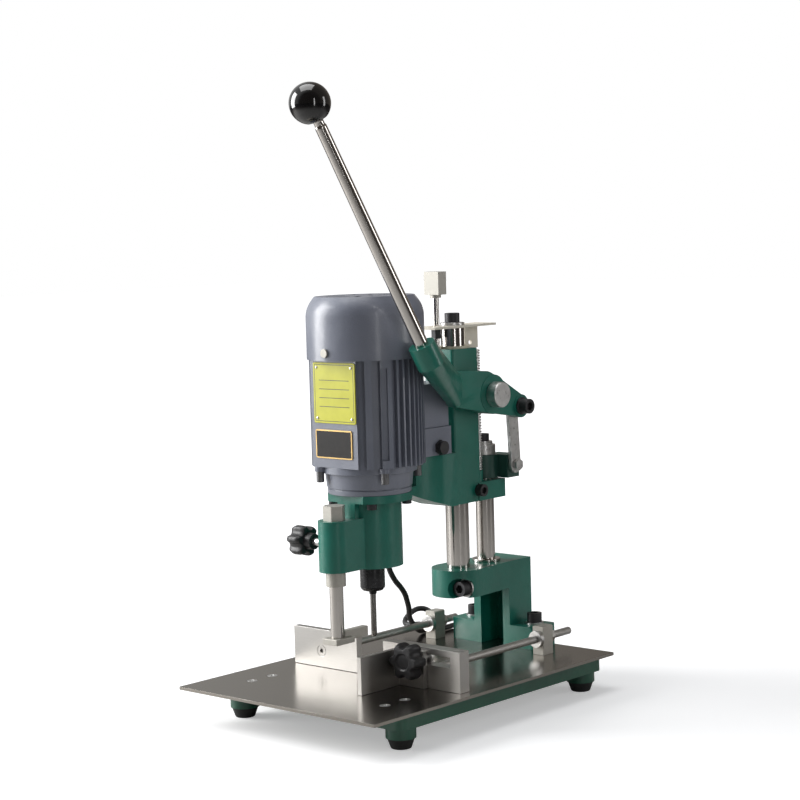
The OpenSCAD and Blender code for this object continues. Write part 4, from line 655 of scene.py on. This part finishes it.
# Both are turned about the rod's own axis. The ball's outline starts in its bore and crosses its flat; then
# radius = ball x sine and height = centre - ball x cosine
def makeLever(lever):
    foot, axis = lever["foot"], lever["axis"]
    rod = turned(softened(lever["rod"], lever["rodSoft"]), columns=56)
    surfacePiece("leverRod", [laid(rod, foot, axis)], "chrome", "lever", replaced=("lever_rod",))
    radius, centre = lever["ball"], lever["ballCentre"]
    bore, depth = lever["bore"]
    flat = math.radians(lever["flat"])
    angle = np.linspace(flat, math.pi, lever["arcPoints"])
    arc = np.stack([radius * np.sin(angle), centre - radius * np.cos(angle)], -1)
    low = centre - radius * math.cos(flat)
    past = lever["mouthPoints"]
    mouth = softened([(bore, low + depth), (bore, low), arc[0], arc[past]], lever["ballSoft"])
    ball = turned(np.concatenate([[[0, low + depth]], mouth, arc[past + 1:]]), columns=72)
    surfacePiece("ballKnob", [laid(ball, foot, axis)], "black_gloss", "lever", sharp=50,
                 replaced=("ball_knob",))


makeLever(leverShape)

# Two lobed knobs. A hub, a stud, a washer and an end nut are each a radius and a length
starKnobs = {
    "pressLockKnob": {"body": "press_lock", "node": "press_lock_knob", "place": (-36, -95, 185.0),
                      "axis": (-1, 0, 0), "size": 16.5, "depth": 18, "turn": 12, "hub": (8, 8),
                      "stud": (4, 26.7), "washer": None, "end": None},
    "sideStopKnob": {"body": "stop_knob", "node": "side_stop_knob", "place": (69, -59.6, 69.5),
                     "axis": (0, -1, 0), "size": 19.5, "depth": 17, "turn": 0, "hub": None,
                     "stud": (4, 23.2), "washer": (10, 3), "end": (8, 4)},
}
knobLobes = {"count": 6, "middle": 0.865, "swing": 0.135, "steep": 1.5, "from": 0.45, "over": 0.4,
             "hub": 0.9, "hubSunk": 0.4, "hubFlare": 1, "studSunk": 1, "dish": 1.6,
             "soft": (0.05, 0.06, 0.12, 2.5, 2.0, 0.1), "sides": 144}


# The rim's outline, in shares of the size and of the depth, is carried round the axis. Its radius waves with
# middle + swing x a cosine steepened by tanh, and the waves fade out towards the hub
def makeStarKnob(name, knob, lobes):
    size, depth = knob["size"], knob["depth"]
    dished = depth - lobes["dish"]
    rim = softened([(0, dished), (0.42, dished), (0.52, depth), (0.86, depth), (1.0, depth * 0.72),
                    (1.0, depth * 0.2), (0.9, 0), (0, 0)], lobes["soft"], 7)
    angle = np.arange(lobes["sides"]) * 2 * math.pi / lobes["sides"]
    phase = lobes["count"] * (angle - math.radians(knob["turn"]))
    swing = np.tanh(lobes["steep"] * np.cos(phase)) / math.tanh(lobes["steep"])
    wave = lobes["middle"] + lobes["swing"] * swing
    strength = np.clip((rim[:, 0] - lobes["from"]) / lobes["over"], 0, 1)[:, None]
    radius = size * rim[:, 0:1] * (strength * wave[None] + (1 - strength) * lobes["hub"])
    height = np.broadcast_to(rim[:, 1:2], radius.shape)
    black = [np.stack([radius * np.cos(angle), radius * np.sin(angle), height], -1)]
    if knob["hub"]:
        wide, long = knob["hub"]
        sunk, flare = lobes["hubSunk"], lobes["hubFlare"]
        hub = softened([(0, sunk), (wide + flare, sunk), (wide, -long), (0, -long)], 0.8)
        black.append(turned(hub, columns=48))
    wide, long = knob["stud"]
    steel = [disc(wide, lobes["studSunk"], -long, soft=0.5, columns=32)]
    if knob["washer"]:
        wide, thick = knob["washer"]
        steel.append(disc(wide, 0, -thick, soft=0.4, columns=48))
    if knob["end"]:
        wide, thick = knob["end"]
        steel.append(disc(wide, thick - long, -long, soft=0.4, columns=48))
    black, steel = [[laid(grid, knob["place"], knob["axis"]) for grid in grids] for grids in (black, steel)]
    surfacePiece(name, black, "black_matte", knob["body"], sharp=45, replaced=(knob["node"],),
                 slot="black_matte")
    surfacePiece(name + "Stud", steel, "bright_steel", knob["body"])


for name, knob in starKnobs.items():
    makeStarKnob(name, knob, knobLobes)
print("turned and lobed parts made")

# Two plates on the motor: a ruled yellow one with four rivets and a bare black one with a gold border
plates = {
    "yellow": {"centre": (1.5, 336.3), "size": (57, 61), "ink": colour(0.05, 0.05, 0.03),
               "tones": (colour(0.50, 0.49, 0.016), colour(0.58, 0.57, 0.03))},
    "black": {"centre": (-1, 284.8), "size": (50, 29), "gold": colour(0.55, 0.38, 0.16),
              "tones": (colour(0.004, 0.003, 0.003), colour(0.008, 0.006, 0.005))},
    "front": -91.0, "thick": 1.0, "corner": 2.2, "edge": 0.25,
    "rivet": [(0, 0), (1.5, 0.0), (1.35, -0.75), (0, -0.95)], "rivetInset": 5, "rivetSunk": 0.05,
}

# Printed lines, in metres: their pitch, half their widths and how far they stay from the plate's edges
ruling = {"pitch": 0.0088, "shift": 0.0005, "halfLine": 0.00035, "sideMargin": 0.008, "endMargin": 0.010,
          "borderIn": 0.0022, "halfBorder": 0.0003, "borderEnd": 0.002, "goldWidth": 0.0014}


# A plate's outline is a rectangle with curved corners. Each row is the outline moved in by an inset, at a
# depth behind the front: from the middle of the front round the edge to the middle of the back
def plateGrid(plate, plates):
    half = np.array(plate["size"]) / 2
    corners = np.array([(0, -1), (1, -1), (1, 1), (-1, 1), (-1, -1), (0, -1)]) * half
    shape = softened(corners, plates["corner"])[:-1] / half
    middle, edge, thick = half.min(), plates["edge"], plates["thick"]
    rows = [(-middle, 0.0), (-edge, 0.0), (0.0, edge), (0.0, thick), (-middle, thick)]
    grid = [np.concatenate([shape * (half + inset), np.full((len(shape), 1), plates["front"] + depth)], 1)
            for inset, depth in rows]
    return np.array(grid)[..., [0, 2, 1]] + np.array([plate["centre"][0], 0, plate["centre"][1]])


# Distances from the plate's centre, across and upward, and half its sizes
def plateMeasures(tin, plate):
    x, z = tin.axes()[::2]
    left, low = plate["centre"][0] * millimetre, plate["centre"][1] * millimetre
    return abs(x - left), z - low, plate["size"][0] / 2 * millimetre, plate["size"][1] / 2 * millimetre


# Ruled lines repeat upward at one pitch; the border is a line at one distance from each edge
def yellowFinish(plate):
    tin = Finish("printed yellow plate", Metallic=0.0, IOR=1.5)
    across, upward, halfWide, halfHigh = plateMeasures(tin, plate)
    inset, line, end = ruling["borderIn"], ruling["halfBorder"], ruling["borderEnd"]
    rows = abs(((upward + ruling["shift"]) % ruling["pitch"]) - ruling["pitch"] / 2) < ruling["halfLine"]
    rows = rows * (across < halfWide - ruling["sideMargin"]) * (abs(upward) < halfHigh - ruling["endMargin"])
    border = (abs(across - (halfWide - inset)) < line) * (abs(upward) < halfHigh - end)
    border = border + (abs(abs(upward) - (halfHigh - inset)) < line) * (across < halfWide - end)
    yellow = tin.blend(tin.spread(tin.noise(scale=60, detail=3)), *plate["tones"])
    printed = tin.blend(rows + border, yellow, plate["ink"])
    return tin.set(Base_Color=printed,
                   Roughness=tin.spread(tin.noise(scale=300, detail=2), low=0.28, high=0.4),
                   Normal=tin.bump(tin.noise(scale=250, detail=2), distance=0.00002, strength=0.4))


# Gold where the distance from an edge is less than the border's width
def blackFinish(plate):
    tin = Finish("black plate with a gold border", IOR=1.35)
    across, upward, halfWide, halfHigh = plateMeasures(tin, plate)
    edge = (across > halfWide - ruling["goldWidth"]) + (abs(upward) > halfHigh - ruling["goldWidth"])
    edge = edge > 0.5
    field = tin.blend(tin.spread(tin.noise(scale=90, detail=3)), *plate["tones"])
    return tin.set(Base_Color=tin.blend(edge, field, plate["gold"]), Metallic=edge * 0.9,
                   Roughness=tin.spread(tin.noise(scale=300, detail=2), low=0.4, high=0.5))


def makePlates(plates):
    for name, makeFinish in (("yellow", yellowFinish), ("black", blackFinish)):
        replaced = ("label_plates",) if name == "yellow" else ()
        surfacePiece(name + "Plate", [plateGrid(plates[name], plates)], makeFinish(plates[name]), "head",
                     sharp=20, replaced=replaced, slot="label")
    dome = turned(softened(plates["rivet"], 0.5), columns=24)
    x, z = plates["yellow"]["centre"]
    wide, high = np.array(plates["yellow"]["size"]) / 2 - plates["rivetInset"]
    front = plates["front"] + plates["rivetSunk"]
    places = [(x + side * wide, front, z + rise * high) for side in (-1, 1) for rise in (-1, 1)]
    surfacePiece("plateRivets", [laid(dome, place, (0, 1, 0)) for place in places], "bright_steel", "head")


makePlates(plates)
print("plates made")

# The floor: half its side in metres, the squares of the distances between which its far part fades in, the two
# tones that mottle it to the camera, and its near and far tones to other rays and as a glow
floorShape = {"half": 12, "fade": (0.3, 3.0),
              "mottled": (colour(0.86, 0.86, 0.86), colour(0.88, 0.88, 0.88)),
              "dull": (colour(0.50, 0.49, 0.47), colour(0.10, 0.09, 0.08)),
              "glow": (colour(0.35, 0.35, 0.35), colour(1.0, 1.0, 1.0))}


# The stage: a pale floor. To the camera its far part glows as the background does; to other rays it is dull
def makeStage(shape):
    pale = Finish("pale floor", Roughness=0.7)
    x, y = pale.axes()[:2]
    far = pale.smoothStep(x * x + y * y, *shape["fade"])
    shade = pale.blend(pale.spread(pale.noise(scale=3, detail=2)), *shape["mottled"])
    seen = pale.ray("Is Camera Ray")
    dull = pale.blend(far, *shape["dull"])
    glow = pale.blend(far, *shape["glow"])
    pale.set(Base_Color=pale.blend(seen, dull, shade), Emission_Color=pale.blend(seen, colour(0, 0, 0), glow))
    pale.shader.inputs["Emission Strength"].default_value = 1.0
    corners = np.array([(-1, -1, 0), (1, -1, 0), (1, 1, 0), (-1, 1, 0)], float) * shape["half"]
    mesh = bpy.data.meshes.new("floor")
    mesh.from_pydata(corners.tolist(), [], [(0, 1, 2, 3)])
    mesh.materials.append(pale.material)
    floor = bpy.data.objects.new("floor", mesh)
    scene.collection.objects.link(floor)


makeStage(floorShape)

# Soft studio light: a large key from the picture's left, a narrow strip from its right, a broad lamp above
# and a rim light from behind
lamps = {
    "key": {"place": (-1.55, -1.05, 0.95), "aim": (0, 0, 0.28), "size": (1.0, 1.7), "power": 62},
    "strip": {"place": (2.2, -1.0, 0.7), "aim": (0, 0, 0.3), "size": (0.16, 1.6), "power": 6},
    "top": {"place": (-0.3, -0.2, 2.2), "aim": (0, 0, 0.3), "size": (1.4, 1.4), "power": 20},
    "rim": {"place": (1.7, 1.2, 0.8), "aim": (0, 0, 0.3), "size": (0.4, 1.4), "power": 8},
}


# A lamp shines along minus its third axis, which points from its aim to its place
def makeLamps(lamps):
    for name, lamp in lamps.items():
        light = bpy.data.lights.new(name, "AREA")
        light.shape, light.energy = "RECTANGLE", lamp["power"]
        light.size, light.size_y = lamp["size"]
        away = np.array(lamp["place"]) - np.array(lamp["aim"])
        away /= np.linalg.norm(away)
        side = np.cross((0, 0, 1.0), away)
        side /= np.linalg.norm(side)
        carrier = bpy.data.objects.new(name, light)
        carrier.matrix_world = poseFrom(side, np.cross(away, side), away, lamp["place"])
        scene.collection.objects.link(carrier)


makeLamps(lamps)

# What the steel reflects: dark towards the camera, bright to the picture's left and brown to its right.
# Each fade is between two cosines of the angle to its direction
studio = {"towards": (0.664, -0.748, 0.0), "darkFade": (0.25, 0.6), "right": (0.748, 0.664, 0.0),
          "brownFade": (-0.3, 0.2), "dark": colour(0.07, 0.06, 0.05), "brown": colour(0.17, 0.15, 0.13),
          "bright": colour(0.55, 0.55, 0.54), "diffuse": colour(0.15, 0.155, 0.17), "seen": colour(1, 1, 1)}


# Glossy rays find these three tones, the camera finds white and other rays find an even grey
def makeWorld(studio):
    world = bpy.data.worlds.new("studio")
    world.use_nodes = True
    scene.world = world
    sky = Shading(world.node_tree)
    background = next(node for node in world.node_tree.nodes if node.type == "BACKGROUND")
    way = sky.node("ShaderNodeTexCoord", {}, {}, "Generated")
    towards, right = [sky.node("ShaderNodeVectorMath", {"operation": "DOT_PRODUCT"},
                               {0: way, 1: studio[direction]}, "Value") for direction in ("towards", "right")]
    side = sky.blend(sky.smoothStep(right, *studio["brownFade"]), studio["bright"], studio["brown"])
    mirror = sky.blend(sky.smoothStep(towards, *studio["darkFade"]), side, studio["dark"])
    lit = sky.blend(sky.ray("Is Glossy Ray"), studio["diffuse"], mirror)
    sky.join(sky.blend(sky.ray("Is Camera Ray"), lit, studio["seen"]), background.inputs["Color"])


makeWorld(studio)
scene.view_settings.view_transform = "Standard"
print("stage and light set")
